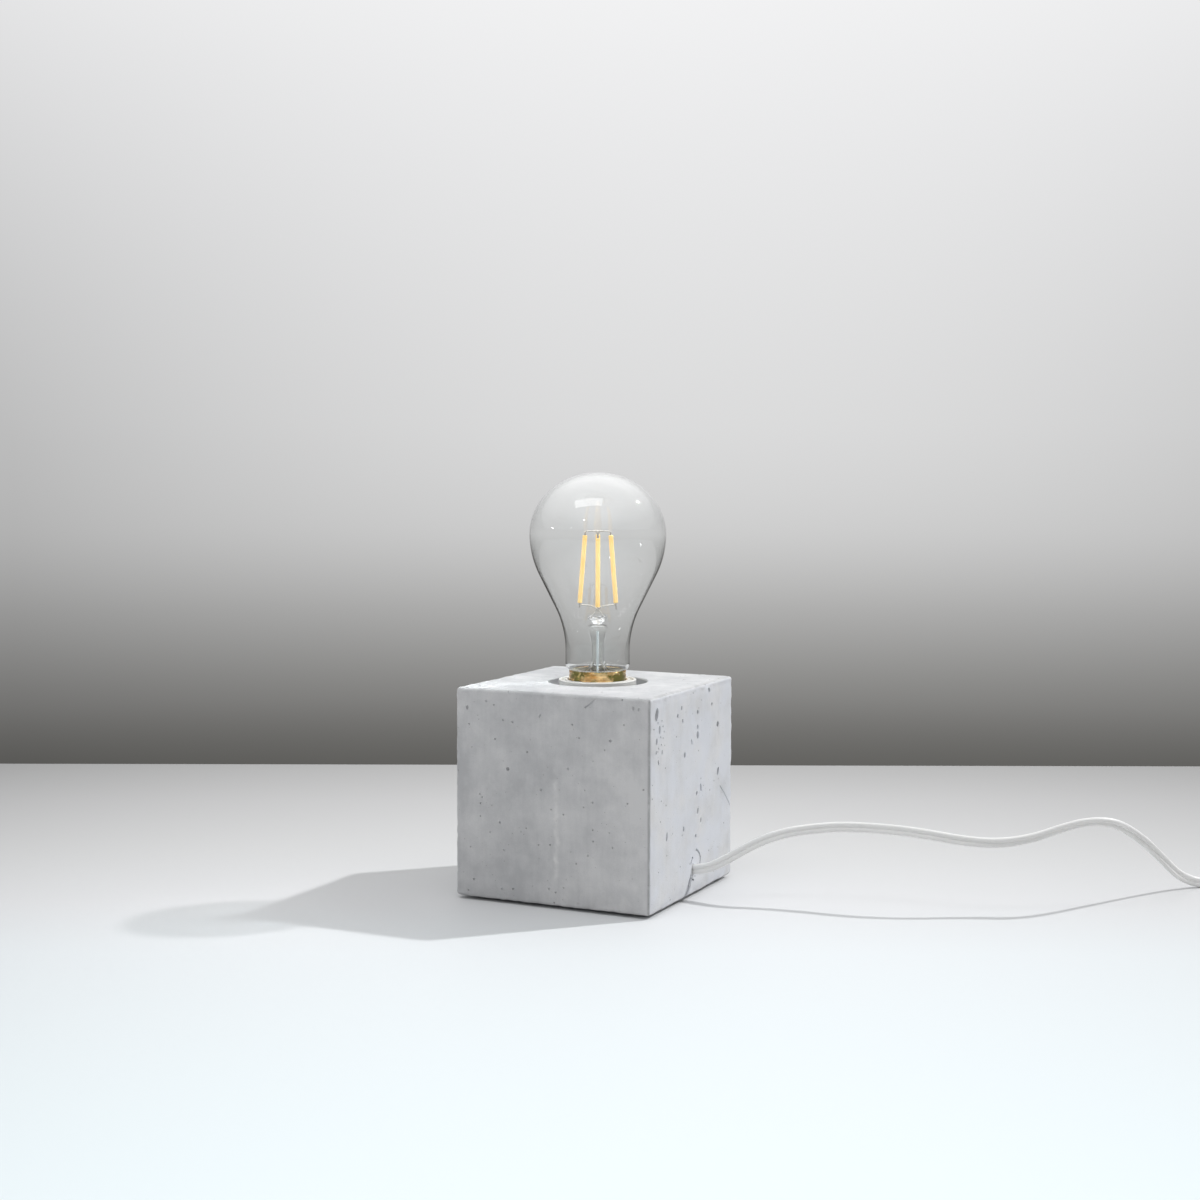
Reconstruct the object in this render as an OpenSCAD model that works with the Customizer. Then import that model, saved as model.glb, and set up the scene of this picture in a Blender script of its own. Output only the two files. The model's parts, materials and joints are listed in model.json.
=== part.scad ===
// Bare bulb table lamp: a cast concrete cube with a lampholder sunk in its top, a clear
// pear-shaped filament bulb, a flat twin cord, an in-line rocker switch and a two-pin plug.
// Millimetres. +Z is up. The origin is on the table, under the middle of the cube.
// The cord leaves through the +X face.

/* [Concrete block] */
// Width and depth of the block
block_w = 100; // [96:1:125]
// Height of the block's top above the table
block_h = 100; // [98:1:125]
// Radius of the block's rounded edges
edge_r = 2.2; // [1.5:0.1:4]
// Open gap between the lampholder and the pocket's wall
pocket_gap = 5.15; // [4.6:0.05:8]
// Radius of the hollow under the lampholder
chamber_r = 32; // [29:0.5:34]
// Thickness of the web that carries the lampholder
web_t = 14; // [8:0.5:16]
// Height of the cord's outlet above the table
cord_z = 13.4; // [13:0.1:16]
// Length of the narrow slot at the outlet
slot_len = 6; // [4:0.5:8]

/* [Underside] */
// Thickness of the foot pads
pad_t = 1; // [0.6:0.1:2]
// Radius of a foot pad
pad_r = 5; // [3:0.5:5]
// Thickness of the cover plate
cover_t = 2; // [1.5:0.1:3]
// Radius of the cover plate
cover_r = 41.6; // [41:0.1:42]
// Radius of the circle on which the cover's screws lie
cover_screw_ring = 37; // [36.5:0.1:37.5]
// Length of the brass inserts that take the cover's screws
insert_len = 6; // [4:0.5:8]

/* [Lampholder] */
// Outer radius of the lampholder
holder_r = 18.5; // [18:0.1:23]
// Height of the lampholder, from the web to its rim
holder_h = 56.8; // [56:0.1:60]
// How far the rim stands above the concrete
holder_rise = 0.8; // [0.4:0.1:3]
// Wall of the lampholder's outer shell
skirt_wall = 1.6; // [1.2:0.1:2]
// Outer radius of the threaded fixing tube
nipple_r = 5; // [4.5:0.1:6]
// Bore radius of the fixing tube
nipple_bore_r = 3.5; // [3.2:0.05:3.6]

/* [Bulb] */
// Largest radius of the glass
bulb_r = 32.5; // [27:0.5:40]
// Height of the glass dome above the widest place
dome_h = 29.2; // [24:0.1:35]
// Radius of the glass neck
neck_r = 15.4; // [14.5:0.1:16.5]
// Height of the neck above the cap's rim
neck_h = 9.6; // [8:0.1:12]
// Angle between the glass cone and the upright
side_angle = 26.4; // [22:0.1:32]
// Radius of the outward curve above the cone
shoulder_r = 43; // [36:1:50]
// Radius of the inward curve below the cone
throat_r = 45; // [38:1:52]
// Wall of the glass
glass_t = 0.8; // [0.6:0.1:1.2]
// Number of filament sticks
stick_count = 4; // [3:1:5]
// Radius of a filament stick
stick_r = 1.15; // [0.8:0.05:1.3]
// Distance of the sticks' upper ends from the axis
stick_top_r = 6.1; // [5:0.1:7.5]
// Distance of the sticks' lower ends from the axis
stick_low_r = 8.6; // [7.5:0.1:10]
// Height of a stick
stick_h = 32.2; // [28:0.1:38]

/* [Screw cap] */
// Largest radius of the cap's thread
thread_major_r = 13.1; // [12.8:0.05:13.3]
// Smallest radius of the cap's thread
thread_minor_r = 12.15; // [11.9:0.05:12.4]
// Rise of the thread in one turn
thread_pitch = 3.629; // [3.4:0.001:3.8]
// Room between the two threads
thread_clear = 0.25; // [0.2:0.01:0.35]
// Radius of the plain collar above the thread
collar_r = 13.6; // [13.5:0.05:14]
// Height of the cap from its contact to its rim
cap_len = 26.8; // [26:0.1:28]
// Height of the cap's rim above the lampholder's rim
collar_show = 4.5; // [4:0.1:6]

/* [Cord] */
// Width of the flat twin cord
cord_w = 4.8; // [4:0.1:5.8]
// Thickness of the cord
cord_t = 2.4; // [2:0.1:2.9]
// Smallest radius of the coil, at the middle of the cord
coil_r = 20; // [19.5:0.5:24]
// Turns in each of the coil's two layers
coil_turns = 4.125; // [2.125:1:5.125]
// Gap between neighbouring turns
coil_gap = 0.5; // [0.45:0.05:1]

/* [Switch] */
// Length of the switch
sw_len = 66; // [56:1:80]
// Width of the switch
sw_w = 27; // [26:1:33]
// Height of the switch
sw_h = 18; // [17.5:0.5:21.6]
// Wall of the switch's shells
sw_wall = 1.8; // [1.5:0.1:2.2]
// Radius of the rocker's rounded ends about its pin
rocker_r = 9; // [8:0.1:10.8]
// Width of the rocker
rocker_w = 12; // [10:0.5:14]
// Tilt of the rocker to each side
rocker_tilt = 9; // [6:0.5:10]
// Radius of the rocker's pin
rocker_pin_r = 1; // [0.8:0.05:1.2]
// Room between the rocker and the shell
rocker_gap = 0.4; // [0.35:0.05:0.6]

/* [Plug] */
// Width of the plug at its face
plug_w = 35.3; // [34:0.1:42]
// Thickness of the plug
plug_t = 13.7; // [13:0.1:16]
// Length of the plug's body
plug_len = 33; // [28:0.5:40]
// Length of the plug's pins
plug_pin_len = 19; // [18.5:0.1:19.5]
// Distance between the plug's pins
plug_pin_gap = 19; // [18:0.1:19.5]
// Length of the strain relief
relief_len = 22; // [20:0.5:30]

/* [Hidden] */
$fn = 64;

// Small distances
eps = 0.01;
fit = 0.05;      // a close fit between fixed pieces
loose = 0.2;     // an easy fit between fixed pieces
clear = 0.3;     // between pieces of different bodies

// Levels of the block and the lampholder
top_z = block_h;
pocket_depth = holder_h - holder_rise;
pocket_z = top_z - pocket_depth;
web_z = pocket_z - web_t;
cover_top = pad_t + cover_t;
rim_z = top_z + holder_rise;
pocket_r = holder_r + pocket_gap;

// Outlet
slot_gap = 0.4;
sleeve_r = 4.5;
sleeve_fn = 48;
flange_r = 6;
flange_t = 1.2;
flange_x1 = sqrt(pow(chamber_r, 2) - pow(flange_r, 2)) - fit;
flange_x0 = flange_x1 - flange_t;
sleeve_x1 = block_w / 2 - slot_len;
clamp_len = 10;
clamp_x0 = flange_x0 - clamp_len;
clamp_hz = 7;
clamp_hy = 6;
clamp_screw_z = cord_w / 2 + 2.2;
clamp_screw_r = 1.25;
core_r = 0.8;
core_gap = cord_w / 4;
cord_end_x = clamp_x0 - 2;

// Underside
cover_screw_count = 3;
screw_r = 1.45;
screw_head_r = 2.8;
screw_head_h = 1.4;
insert_r = 2.4;
pad_place = block_w / 2 - edge_r - pad_r - 4.8;

// Lampholder
boss_r = 8;
base_top_r = holder_r - skirt_wall - loose;
base_rim_z = pocket_z + 22;
block_z0 = pocket_z + 18;
block_z1 = pocket_z + 32;
skirt_z0 = pocket_z + 14;
mouth_r = collar_r + 0.6;
rim_wall = 1.3;
shell_r = thread_major_r + thread_clear + 0.35;
shell_z1 = rim_z - 3;
nipple_z0 = web_z - 5.5;
nipple_z1 = pocket_z + 8;
washer_t = 1;
nut_h = 3;
terminal_y = 9;

// Bulb levels, from the cap's rim upwards
cap_rim_z = rim_z + collar_show;
tip_z = cap_rim_z - cap_len;
neck_z = cap_rim_z + neck_h;
cone_low = [neck_r + throat_r * (1 - cos(side_angle)), neck_z + throat_r * sin(side_angle)];
cone_top_r = bulb_r - shoulder_r * (1 - cos(side_angle));
cone_top_z = cone_low[1] + (cone_top_r - cone_low[0]) / tan(side_angle);
wide_z = cone_top_z + shoulder_r * sin(side_angle);
glass_foot_r = 12.7;
glass_foot_z = cap_rim_z - 3;
neck_turn_r = 5;
collar_wall = 0.4;
cap_thread_z0 = tip_z + 2.4;
cap_bore_r = 11.7;
press_z0 = cap_rim_z + 18.7;
press_z1 = press_z0 + 7;
press_w = 9;
press_t = 3;
stem_r = 3.2;
stem_wall = 0.7;
hub_low_z = press_z1 + 4.6;
stick_z0 = hub_low_z + 1.5;
stick_z1 = stick_z0 + stick_h;
hub_top_z = stick_z1 + 1.8;
tab_h = 1.4;
hook_r = 0.3;
board_z0 = tip_z + 6;
board_z1 = tip_z + 20;
board_t = 1.2;
bulb_yaw = 25.4; // turns the sticks as they are seen

// Thread grids
thread_fn = 32;
rows_per_turn = 6;
row_h = thread_pitch / rows_per_turn;

// The cord's route to the switch: distance from the block's face, y, z, and roll of the
// cord about itself. It stands on edge, and rolls over on the second hump.
switch_route = [
    [0, 0, cord_z, 0], [7, 1.7, 14.7, 0], [15.5, 5, 19, 0], [25, 8.5, 25, 0],
    [34, 11, 29.5, 0], [43.5, 13.5, 32.6, 0], [54, 17, 34.5, 0], [66, 20.5, 35.7, 0],
    [80, 22.5, 36, 0], [93.5, 23, 35.9, 0], [106.5, 24, 35, 0], [118.5, 26.5, 33.4, 0],
    [130, 31, 32.2, 5], [140.5, 37, 32.4, 15], [150.5, 43, 34.4, 25], [160, 49, 37.8, 35],
    [169.5, 54, 40.6, 38], [178, 60, 40.8, 38], [184.5, 69, 37.5, 35], [191, 85, 29, 25],
    [196.5, 100.5, 19, 12], [202.5, 115, 8.5, 3], [208, 123, 3.8, 0], [213, 127, 2.4, 0],
    [219, 131.4, 2.4, 0], [226.4, 134, 2.4, 0], [234.2, 134.7, 2.4, 0],
    [241.9, 133.2, 3, 0], [248.9, 129.9, 4.4, 0], [253.8, 125.9, 5.9, 0]
];
out_x = block_w / 2;

// Switch: its middle, from the block's face, and its heading on the table
sw_place = [284.5, 95.2];
sw_heading = -45;
sw_split_z = 7;
sw_cord_z = 7;
sw_nose_w = 15;
pin_z = sw_h - 3.4;
rocker_base = 2.5;
bridge_t = 0.6;
ledge_z = pin_z - rocker_base * cos(rocker_tilt) - rocker_r * sin(rocker_tilt) - clear;
contact_u = 5.5;
contact_v = 3;
contact_top = pin_z - (rocker_base + bridge_t) * cos(rocker_tilt)
    - (contact_u + 2) * sin(rocker_tilt) - clear;
sw_screw_u = 23.5;
sw_screw_v = sw_w / 2 - 4.2;
sw_stub = 9;

// Coil: it lies on its tie, a little above the table
tie_t = 0.6;
tie_w = 8;
tie_gap = 0.5;
coil_pitch = cord_t + coil_gap;
coil_lift = cord_w + coil_gap;
coil_z = tie_t + loose + cord_w / 2;
coil_out_r = coil_r + coil_pitch * coil_turns;
coil_steps = 24;
coil_climb = 0.25;
coil_start = 45;
coil_lead = 5;
lead_len = 30;

// Plug: its own height decides where the cord enters
tail_len = 25;
plug_z = plug_t / 2;
relief_r0 = 3.6;
relief_r1 = 5.4;
pin_r = 2;
sleeve_len = 10;
sleeve_t = 0.25;

// ---------------------------------------------------------------- helpers

// Points on an arc in a plane
function arc(c, r, a0, a1, n) =
    [for (i = [0:n]) c + r * [cos(a0 + (a1 - a0) * i / n), sin(a0 + (a1 - a0) * i / n)]];

function unit(v) = v / norm(v);
function at_exit(p) = [p[0] + out_x, p[1], p[2]];

// Outline of the twin cord for a tube: two round cores side by side
function cord_outline(w, t) = concat(
    [for (a = [0:45:180]) [w / 2 - t / 2 + t / 2 * sin(a), t / 2 * cos(a)]],
    [for (a = [180:45:360]) [-w / 2 + t / 2 + t / 2 * sin(a), t / 2 * cos(a)]]);

// Six-sided outline of the cord for the coil
function coil_outline(w, t) =
    [[w / 2, 0], [w / 2 - t / 2, -t / 2], [t / 2 - w / 2, -t / 2],
     [-w / 2, 0], [t / 2 - w / 2, t / 2], [w / 2 - t / 2, t / 2]];

function round_outline(r, n) = [for (i = [0:n - 1]) r * [cos(-360 * i / n), sin(-360 * i / n)]];

// Direction of a route at its point i; the two ends are given
function heading(p, i, first, last) =
    i == 0 ? first : i == len(p) - 1 ? last : unit(unit(p[i + 1] - p[i]) + unit(p[i] - p[i - 1]));

// One ring of a tube: the outline's first axis stands upright, turned by the roll
function ring_at(p, t, roll, outline) =
    let (side = unit(abs(t[2]) > 0.9 ? cross(t, [1, 0, 0]) : cross(t, [0, 0, 1])),
         up = cross(side, t),
         a = up * cos(roll) + side * sin(roll),
         b = side * cos(roll) - up * sin(roll))
    [for (q = outline) p + a * q[0] + b * q[1]];

// Triangles between the rings of a closed tube
function tube_faces(rings, n) = concat(
    [for (i = [0:rings - 2]) for (j = [0:n - 1])
        [i * n + j, i * n + (j + 1) % n, (i + 1) * n + j]],
    [for (i = [0:rings - 2]) for (j = [0:n - 1])
        [(i + 1) * n + j, i * n + (j + 1) % n, (i + 1) * n + (j + 1) % n]],
    [for (j = [1:n - 2]) [0, j + 1, j]],
    [for (j = [1:n - 2]) [(rings - 1) * n, (rings - 1) * n + j, (rings - 1) * n + j + 1]]);

module tube(points, rolls, outline, first, last) {
    rings = [for (i = [0:len(points) - 1])
        ring_at(points[i], heading(points, i, first, last), rolls[i], outline)];
    polyhedron(points = [for (r = rings) for (q = r) q],
               faces = tube_faces(len(points), len(outline)));
}

module box(x0, x1, y0, y1, z0, z1) {
    translate([x0, y0, z0]) cube([x1 - x0, y1 - y0, z1 - z0]);
}

module disc(r, z0, z1) {
    translate([0, 0, z0]) cylinder(r = r, h = z1 - z0);
}

module ring(ro, ri, z0, z1) {
    difference() {
        disc(ro, z0, z1);
        disc(ri, z0 - 1, z1 + 1);
    }
}

// A round bar between two points
module rod(a, b, r) {
    d = b - a;
    translate(a) rotate([0, acos(d[2] / norm(d)), atan2(d[1], d[0])])
        cylinder(r = r, h = norm(d), $fn = 24);
}

// A slot with round ends, long along x
module slot_2d(w, t) {
    square([w - t, t], center = true);
    for (s = [-1, 1]) translate([s * (w - t) / 2, 0]) circle(d = t, $fn = 32);
}

// The twin cord's section, long along x
module twin_2d(w, t) {
    square([w - t, t * 0.6], center = true);
    for (s = [-1, 1]) translate([s * (w - t) / 2, 0]) circle(d = t, $fn = 32);
}

// Puts flat outlines upright in the outlet, from x0 on
module along_outlet(x0, len) {
    translate([x0, 0, cord_z]) rotate([0, 90, 0]) linear_extrude(len) children();
}

// ---------------------------------------------------------------- block and underside

module rounded_block() {
    fn = 32;
    ball = edge_r / cos(180 / fn);
    c = block_w / 2 - edge_r;
    hull() for (x = [-c, c], y = [-c, c], z = [pad_t + edge_r, top_z - edge_r])
        translate([x, y, z]) sphere(r = ball, $fn = fn);
}

module cover_screw_places() {
    for (i = [0:cover_screw_count - 1]) rotate([0, 0, 60 + i * 360 / cover_screw_count])
        translate([cover_screw_ring, 0, 0]) children();
}

module concrete_block() {
    color("#c3c4c6") difference() {
        rounded_block();
        disc(pocket_r, pocket_z, top_z + 1);
        disc(nipple_r + loose, web_z - 1, pocket_z + 1);
        disc(chamber_r, 0, web_z);
        disc(cover_r + clear, 0, cover_top);
        cover_screw_places() disc(insert_r, cover_top - 1, cover_top + insert_len + 1);
        along_outlet(chamber_r - 5, sleeve_x1 - chamber_r + 5) circle(r = sleeve_r + fit, $fn = sleeve_fn);
        along_outlet(sleeve_x1 - 1, slot_len + 2) slot_2d(cord_w + 2 * slot_gap, cord_t + 2 * slot_gap);
    }
}

module foot_pads() {
    color("#2b2b2b") for (x = [-pad_place, pad_place], y = [-pad_place, pad_place])
        translate([x, y, 0]) disc(pad_r, 0, pad_t);
}

module bottom_cover() {
    color("#3a3a3a") difference() {
        disc(cover_r, pad_t, cover_top);
        cover_screw_places() {
            disc(screw_r + loose, 0, cover_top + 1);
            translate([0, 0, pad_t - eps])
                cylinder(r1 = screw_head_r + loose, r2 = screw_r + loose, h = screw_head_h + eps);
        }
    }
}

module cover_screws() {
    color("silver") cover_screw_places() difference() {
        union() {
            translate([0, 0, pad_t]) cylinder(r1 = screw_head_r, r2 = screw_r, h = screw_head_h);
            disc(screw_r, pad_t, cover_top + insert_len - 1);
        }
        for (a = [0, 90]) rotate([0, 0, a]) box(-1.4, 1.4, -0.3, 0.3, pad_t - 1, pad_t + 0.7);
    }
}

module threaded_inserts() {
    color("#b08d3c") cover_screw_places()
        ring(insert_r - eps, screw_r + fit, cover_top, cover_top + insert_len);
}

// ---------------------------------------------------------------- fixing tube and outlet

module fixing_nipple() {
    color("silver") ring(nipple_r, nipple_bore_r, nipple_z0, nipple_z1);
}

module nipple_washer() {
    color("silver") ring(nipple_r + 4, nipple_r + loose, web_z - washer_t, web_z);
}

module nipple_nut() {
    color("silver") difference() {
        translate([0, 0, web_z - washer_t - nut_h]) cylinder(r = nipple_r + 3.1, h = nut_h, $fn = 6);
        disc(nipple_r + fit, web_z - washer_t - nut_h - 1, web_z);
    }
}

module outlet_sleeve() {
    color("#e9e9e6") difference() {
        union() {
            along_outlet(flange_x0, flange_t) circle(r = flange_r, $fn = sleeve_fn);
            along_outlet(flange_x1 - eps, sleeve_x1 - flange_x1 - fit) circle(r = sleeve_r, $fn = sleeve_fn);
        }
        along_outlet(flange_x0 - 1, sleeve_x1) slot_2d(cord_w + slot_gap, cord_t + slot_gap);
    }
}

module cord_inner() {
    color("#f2f2ee") along_outlet(cord_end_x, out_x - cord_end_x) twin_2d(cord_w, cord_t);
}

// One half of the cord clamp, on the +y side
module clamp_half(bore_r) {
    difference() {
        box(clamp_x0, flange_x0, 0.2, clamp_hy, cord_z - clamp_hz, cord_z + clamp_hz);
        along_outlet(clamp_x0 - 1, clamp_len + 2) slot_2d(cord_w + 0.1, cord_t + 0.1);
        for (s = [-1, 1]) translate([clamp_x0 + clamp_len / 2, -1, cord_z + s * clamp_screw_z])
            rotate([-90, 0, 0]) cylinder(r = bore_r, h = clamp_hy + 2, $fn = 32);
    }
}

module clamp_back() {
    color("#d9d9d4") clamp_half(clamp_screw_r + eps);
}

module clamp_front() {
    color("#d9d9d4") mirror([0, 1, 0]) clamp_half(clamp_screw_r + loose);
}

module clamp_screws() {
    head_h = 1.6;
    color("silver") for (s = [-1, 1])
        translate([clamp_x0 + clamp_len / 2, -clamp_hy - head_h, cord_z + s * clamp_screw_z])
            rotate([-90, 0, 0]) difference() {
                union() {
                    cylinder(r = 2.2, h = head_h, $fn = 32);
                    cylinder(r = clamp_screw_r, h = head_h + 2 * clamp_hy - 1, $fn = 32);
                }
                translate([-3, -0.3, -1]) cube([6, 0.6, 1.7]);
            }
}

// A core of the cord, from the cord's end up through the fixing tube into its terminal
module core_wire(s) {
    side = core_r + 0.9;
    points = [
        [cord_end_x, 0, cord_z - s * core_gap], [13, 0, cord_z - s * core_gap],
        [8, s * 1.3, cord_z + 2.2], [4, s * 1.7, cord_z + 5.2], [1.2, s * side, cord_z + 9.6],
        [0, s * side, web_z - 4], [0, s * side, nipple_z1], [0, s * (side + 1.6), nipple_z1 + 4],
        [0, s * (side + 4.6), block_z0 - 2.5], [0, s * (terminal_y - 0.4), block_z0 - 0.4],
        [0, s * terminal_y, block_z0 + 2], [0, s * terminal_y, block_z0 + 6]
    ];
    tube(points, [for (p = points) 0], round_outline(core_r, 8), [-1, 0, 0], [0, 0, 1]);
}

module live_wire() {
    color("#6b4327") core_wire(1);
}

module neutral_wire() {
    color("#2f5fa8") core_wire(-1);
}

// ---------------------------------------------------------------- lampholder

module holder_base() {
    bore = nipple_r + fit;
    shoulder_z = pocket_z + 11.5;
    inner_r = base_top_r - 1.8;
    color("#f1f1ee") difference() {
        rotate_extrude() polygon([
            [bore, pocket_z], [boss_r, pocket_z], [boss_r, pocket_z + 4], [holder_r - 6.5, pocket_z + 6.5],
            [holder_r - 2.5, pocket_z + 9], [holder_r - 0.2, shoulder_z], [holder_r - 0.2, skirt_z0],
            [base_top_r, skirt_z0], [base_top_r, base_rim_z], [inner_r, base_rim_z],
            [inner_r, shoulder_z], [inner_r - 1.4, pocket_z + 9.8], [holder_r - 9, pocket_z + 7],
            [bore, pocket_z + 7]
        ]);
        translate([0, 0, pocket_z + 2]) rotate([0, 90, 0]) cylinder(r = 1.2, h = boss_r + 1, $fn = 24);
    }
}

module holder_grub_screw() {
    color("silver") translate([0, 0, pocket_z + 2]) rotate([0, 90, 0])
        translate([0, 0, nipple_r + eps]) difference() {
            cylinder(r = 1.19, h = boss_r - nipple_r - 0.3, $fn = 24);
            translate([-2, -0.2, boss_r - nipple_r - 1]) cube([4, 0.4, 2]);
        }
}

// The pocket of one terminal; the other is turned half round
module terminal_pocket() {
    box(-4.2, 7.2, terminal_y - 3.3, terminal_y + 3.3, block_z0 - 1, block_z0 + 9.2);
}

module contact_block() {
    lower_r = base_top_r - 2;
    color("#e7e3da") difference() {
        union() {
            disc(lower_r, block_z0, base_rim_z + eps);
            disc(base_top_r, base_rim_z, block_z1);
        }
        for (a = [0, 180]) rotate([0, 0, a]) terminal_pocket();
        // ways for the straps
        box(-2.2, 2.2, terminal_y - 0.4, terminal_y + 0.4, block_z0, block_z1 + 1);
        box(-2.2, 2.2, -shell_r - 0.8, -shell_r, block_z0 + 5, block_z1 + 1);
        box(-2.2, 2.2, -shell_r - 0.8, -terminal_y, block_z0 + 5, block_z0 + 9.2);
    }
}

// Brass block with a hole for the wire and one for its screw
module terminal_block() {
    difference() {
        box(-3.5, 3.5, terminal_y - 3, terminal_y + 3, block_z0 + 1.5, block_z0 + 9);
        translate([0, terminal_y, block_z0]) cylinder(r = core_r + 0.15, h = 7, $fn = 24);
        translate([0, terminal_y, block_z0 + 4]) rotate([0, 90, 0]) cylinder(r = 1.3, h = 5, $fn = 24);
    }
}

module live_terminal() {
    color("#b08d3c") union() {
        terminal_block();
        box(-2, 2, terminal_y - 0.25, terminal_y + 0.25, block_z0 + 8.9, block_z1);
    }
}

module neutral_terminal() {
    color("#b08d3c") union() {
        rotate([0, 0, 180]) terminal_block();
        box(-2, 2, -shell_r - 0.6, -terminal_y - 2.5, block_z0 + 8, block_z0 + 9);
        box(-2, 2, -shell_r - 0.6, -shell_r - 0.05, block_z0 + 8, block_z1 + 5);
    }
}

module terminal_screws() {
    shaft = 2.4;
    head_h = 1.6;
    color("silver") for (a = [0, 180]) rotate([0, 0, a])
        translate([core_r + 0.3, terminal_y, block_z0 + 4]) rotate([0, 90, 0]) difference() {
            union() {
                cylinder(r = 1.25, h = shaft + head_h, $fn = 24);
                translate([0, 0, shaft]) cylinder(r = 2, h = head_h, $fn = 24);
            }
            translate([-3, -0.3, shaft + head_h - 0.7]) cube([6, 0.6, 2]);
        }
}

// Spring leaf: a foot on the contact block that rises to the cap's tip
module centre_contact() {
    leaf_t = 0.4;
    leaf_w = 6;
    top = tip_z - clear;
    side = [
        [terminal_y + 1.6, block_z1], [terminal_y + 1.6, block_z1 + leaf_t], [3.5, block_z1 + leaf_t],
        [0.5, top], [-2.5, top], [-3.5, top - 0.7], [-3.2, top - 1], [-2.3, top - leaf_t],
        [0.3, top - leaf_t], [3.3, block_z1]
    ];
    color("#c49a45") translate([-leaf_w / 2, 0, 0]) rotate([90, 0, 90])
        linear_extrude(leaf_w) polygon(side);
}

// Depth of the knuckle thread below its crest, from 0 to 1, at a turn and a height
function thread_dip(turn, z) = 0.5 - 0.5 * cos(360 * z / thread_pitch - turn);

// Fades from 0 to 1 over half a pitch inside both ends of a thread
function fade(z, z0, z1) =
    let (d = min(z - z0, z1 - z) / (thread_pitch / 2)) max(0, min(1, d));

// A closed turned piece whose rows may be threaded. A row is [radius, height, thread], where
// thread 1 takes the radius from row_radius().
module threaded_ring(rows, inner) {
    n = thread_fn;
    points = [for (row = rows) for (j = [0:n - 1])
        let (a = 360 * j / n, r = row[2] == 0 ? row[0] : row_radius(a, row, inner))
        [r * cos(a), r * sin(a), row[1]]];
    m = len(rows);
    faces = [for (i = [0:m - 1]) for (j = [0:n - 1]) for (k = [0, 1])
        let (i2 = (i + 1) % m, j2 = (j + 1) % n)
        k == 0 ? [i * n + j, i2 * n + j, i * n + j2] : [i2 * n + j, i2 * n + j2, i * n + j2]];
    polyhedron(points = points, faces = faces);
}

// Radius of a threaded row: row[0] is how much of the thread's depth is there
function row_radius(a, row, inner) =
    let (depth = thread_major_r - thread_minor_r, dip = thread_dip(a, row[1]))
    inner ? thread_major_r + thread_clear - depth * dip * row[0]
          : thread_minor_r + depth * (1 - dip) * row[0];

module screw_shell() {
    z0 = block_z1;
    t0 = z0 + 2;
    t1 = shell_z1 - 0.6;
    plain = thread_major_r + thread_clear;
    count = floor((t1 - t0) / row_h);
    rows = concat(
        [[plain, z0, 0]],
        [for (i = [0:count]) let (z = t0 + i * row_h) [fade(z, t0, t0 + count * row_h), z, 1]],
        [[plain, shell_z1, 0], [shell_r, shell_z1, 0], [shell_r, z0, 0]]);
    color("#c49a45") threaded_ring(rows, true);
}

module holder_skirt() {
    ri = base_top_r + loose;
    lip_r = mouth_r + rim_wall;
    face_z = rim_z - 1.2;
    color("#f4f4f1") rotate_extrude() polygon([
        [ri, skirt_z0], [holder_r, skirt_z0], [holder_r, rim_z - 0.4], [holder_r - 0.4, rim_z],
        [holder_r - rim_wall, rim_z], [holder_r - rim_wall, face_z], [lip_r, face_z], [lip_r, rim_z],
        [mouth_r + 0.3, rim_z], [mouth_r, rim_z - 0.3], [mouth_r, rim_z - 9], [lip_r, rim_z - 9],
        [lip_r, face_z - 1.4], [ri - 1, face_z - 1.4], [ri - 1, block_z1 + fit], [ri, block_z1 + fit]
    ]);
}

// ---------------------------------------------------------------- bulb

// Outline of the glass, drawn in by a distance; the arcs keep their centres
function glass_profile(inset) = concat(
    [[glass_foot_r - inset, glass_foot_z], [glass_foot_r - inset, cap_rim_z + 0.1],
     [collar_r + 0.3 - inset, cap_rim_z + 0.4]],
    arc([neck_r - neck_turn_r, cap_rim_z + 3.7], neck_turn_r - inset, -38, 0, 5),
    arc([neck_r + throat_r, neck_z], throat_r + inset, 180, 180 - side_angle, 6),
    arc([bulb_r - shoulder_r, wide_z], shoulder_r - inset, -side_angle, 0, 6),
    [for (i = [1:14]) let (a = 90 * i / 15)
        [(bulb_r - inset) * cos(a), wide_z + (dome_h - inset) * sin(a)]],
    [[0, wide_z + dome_h - inset]]);

module bulb_glass() {
    outer = glass_profile(0);
    inner = glass_profile(glass_t);
    n = len(inner);
    color([0.9, 0.93, 0.95, 0.35]) rotate_extrude($fn = 96)
        polygon(concat(outer, [for (i = [0:n - 1]) inner[n - 1 - i]]));
}

module bulb_cap() {
    t1 = cap_rim_z - 6.2;
    count = floor((t1 - cap_thread_z0) / row_h);
    rows = concat(
        [[thread_minor_r - 1.65, tip_z + 1.4, 0], [thread_minor_r - 1.2, tip_z + 1.4, 0]],
        [for (i = [0:count]) let (z = cap_thread_z0 + i * row_h)
            [fade(z, cap_thread_z0, cap_thread_z0 + count * row_h), z, 1]],
        [[thread_minor_r, t1, 0], [collar_r - 0.3, t1 + 0.5, 0], [collar_r, t1 + 1, 0],
         [collar_r, cap_rim_z - 0.3, 0], [collar_r - 0.2, cap_rim_z, 0],
         [collar_r - collar_wall, cap_rim_z, 0], [collar_r - collar_wall, t1 + 1.4, 0],
         [cap_bore_r, t1 + 0.4, 0], [cap_bore_r, cap_thread_z0 + 0.5, 0]]);
    color("#c9a13b") threaded_ring([for (i = [len(rows) - 1:-1:0]) rows[i]], false);
}

module basing_cement() {
    color("#d8d2c0")
        ring(collar_r - collar_wall - eps * 8, glass_foot_r + fit, glass_foot_z + 0.2, cap_rim_z - 0.6);
}

module in_bulb() {
    rotate([0, 0, bulb_yaw]) children();
}

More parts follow.
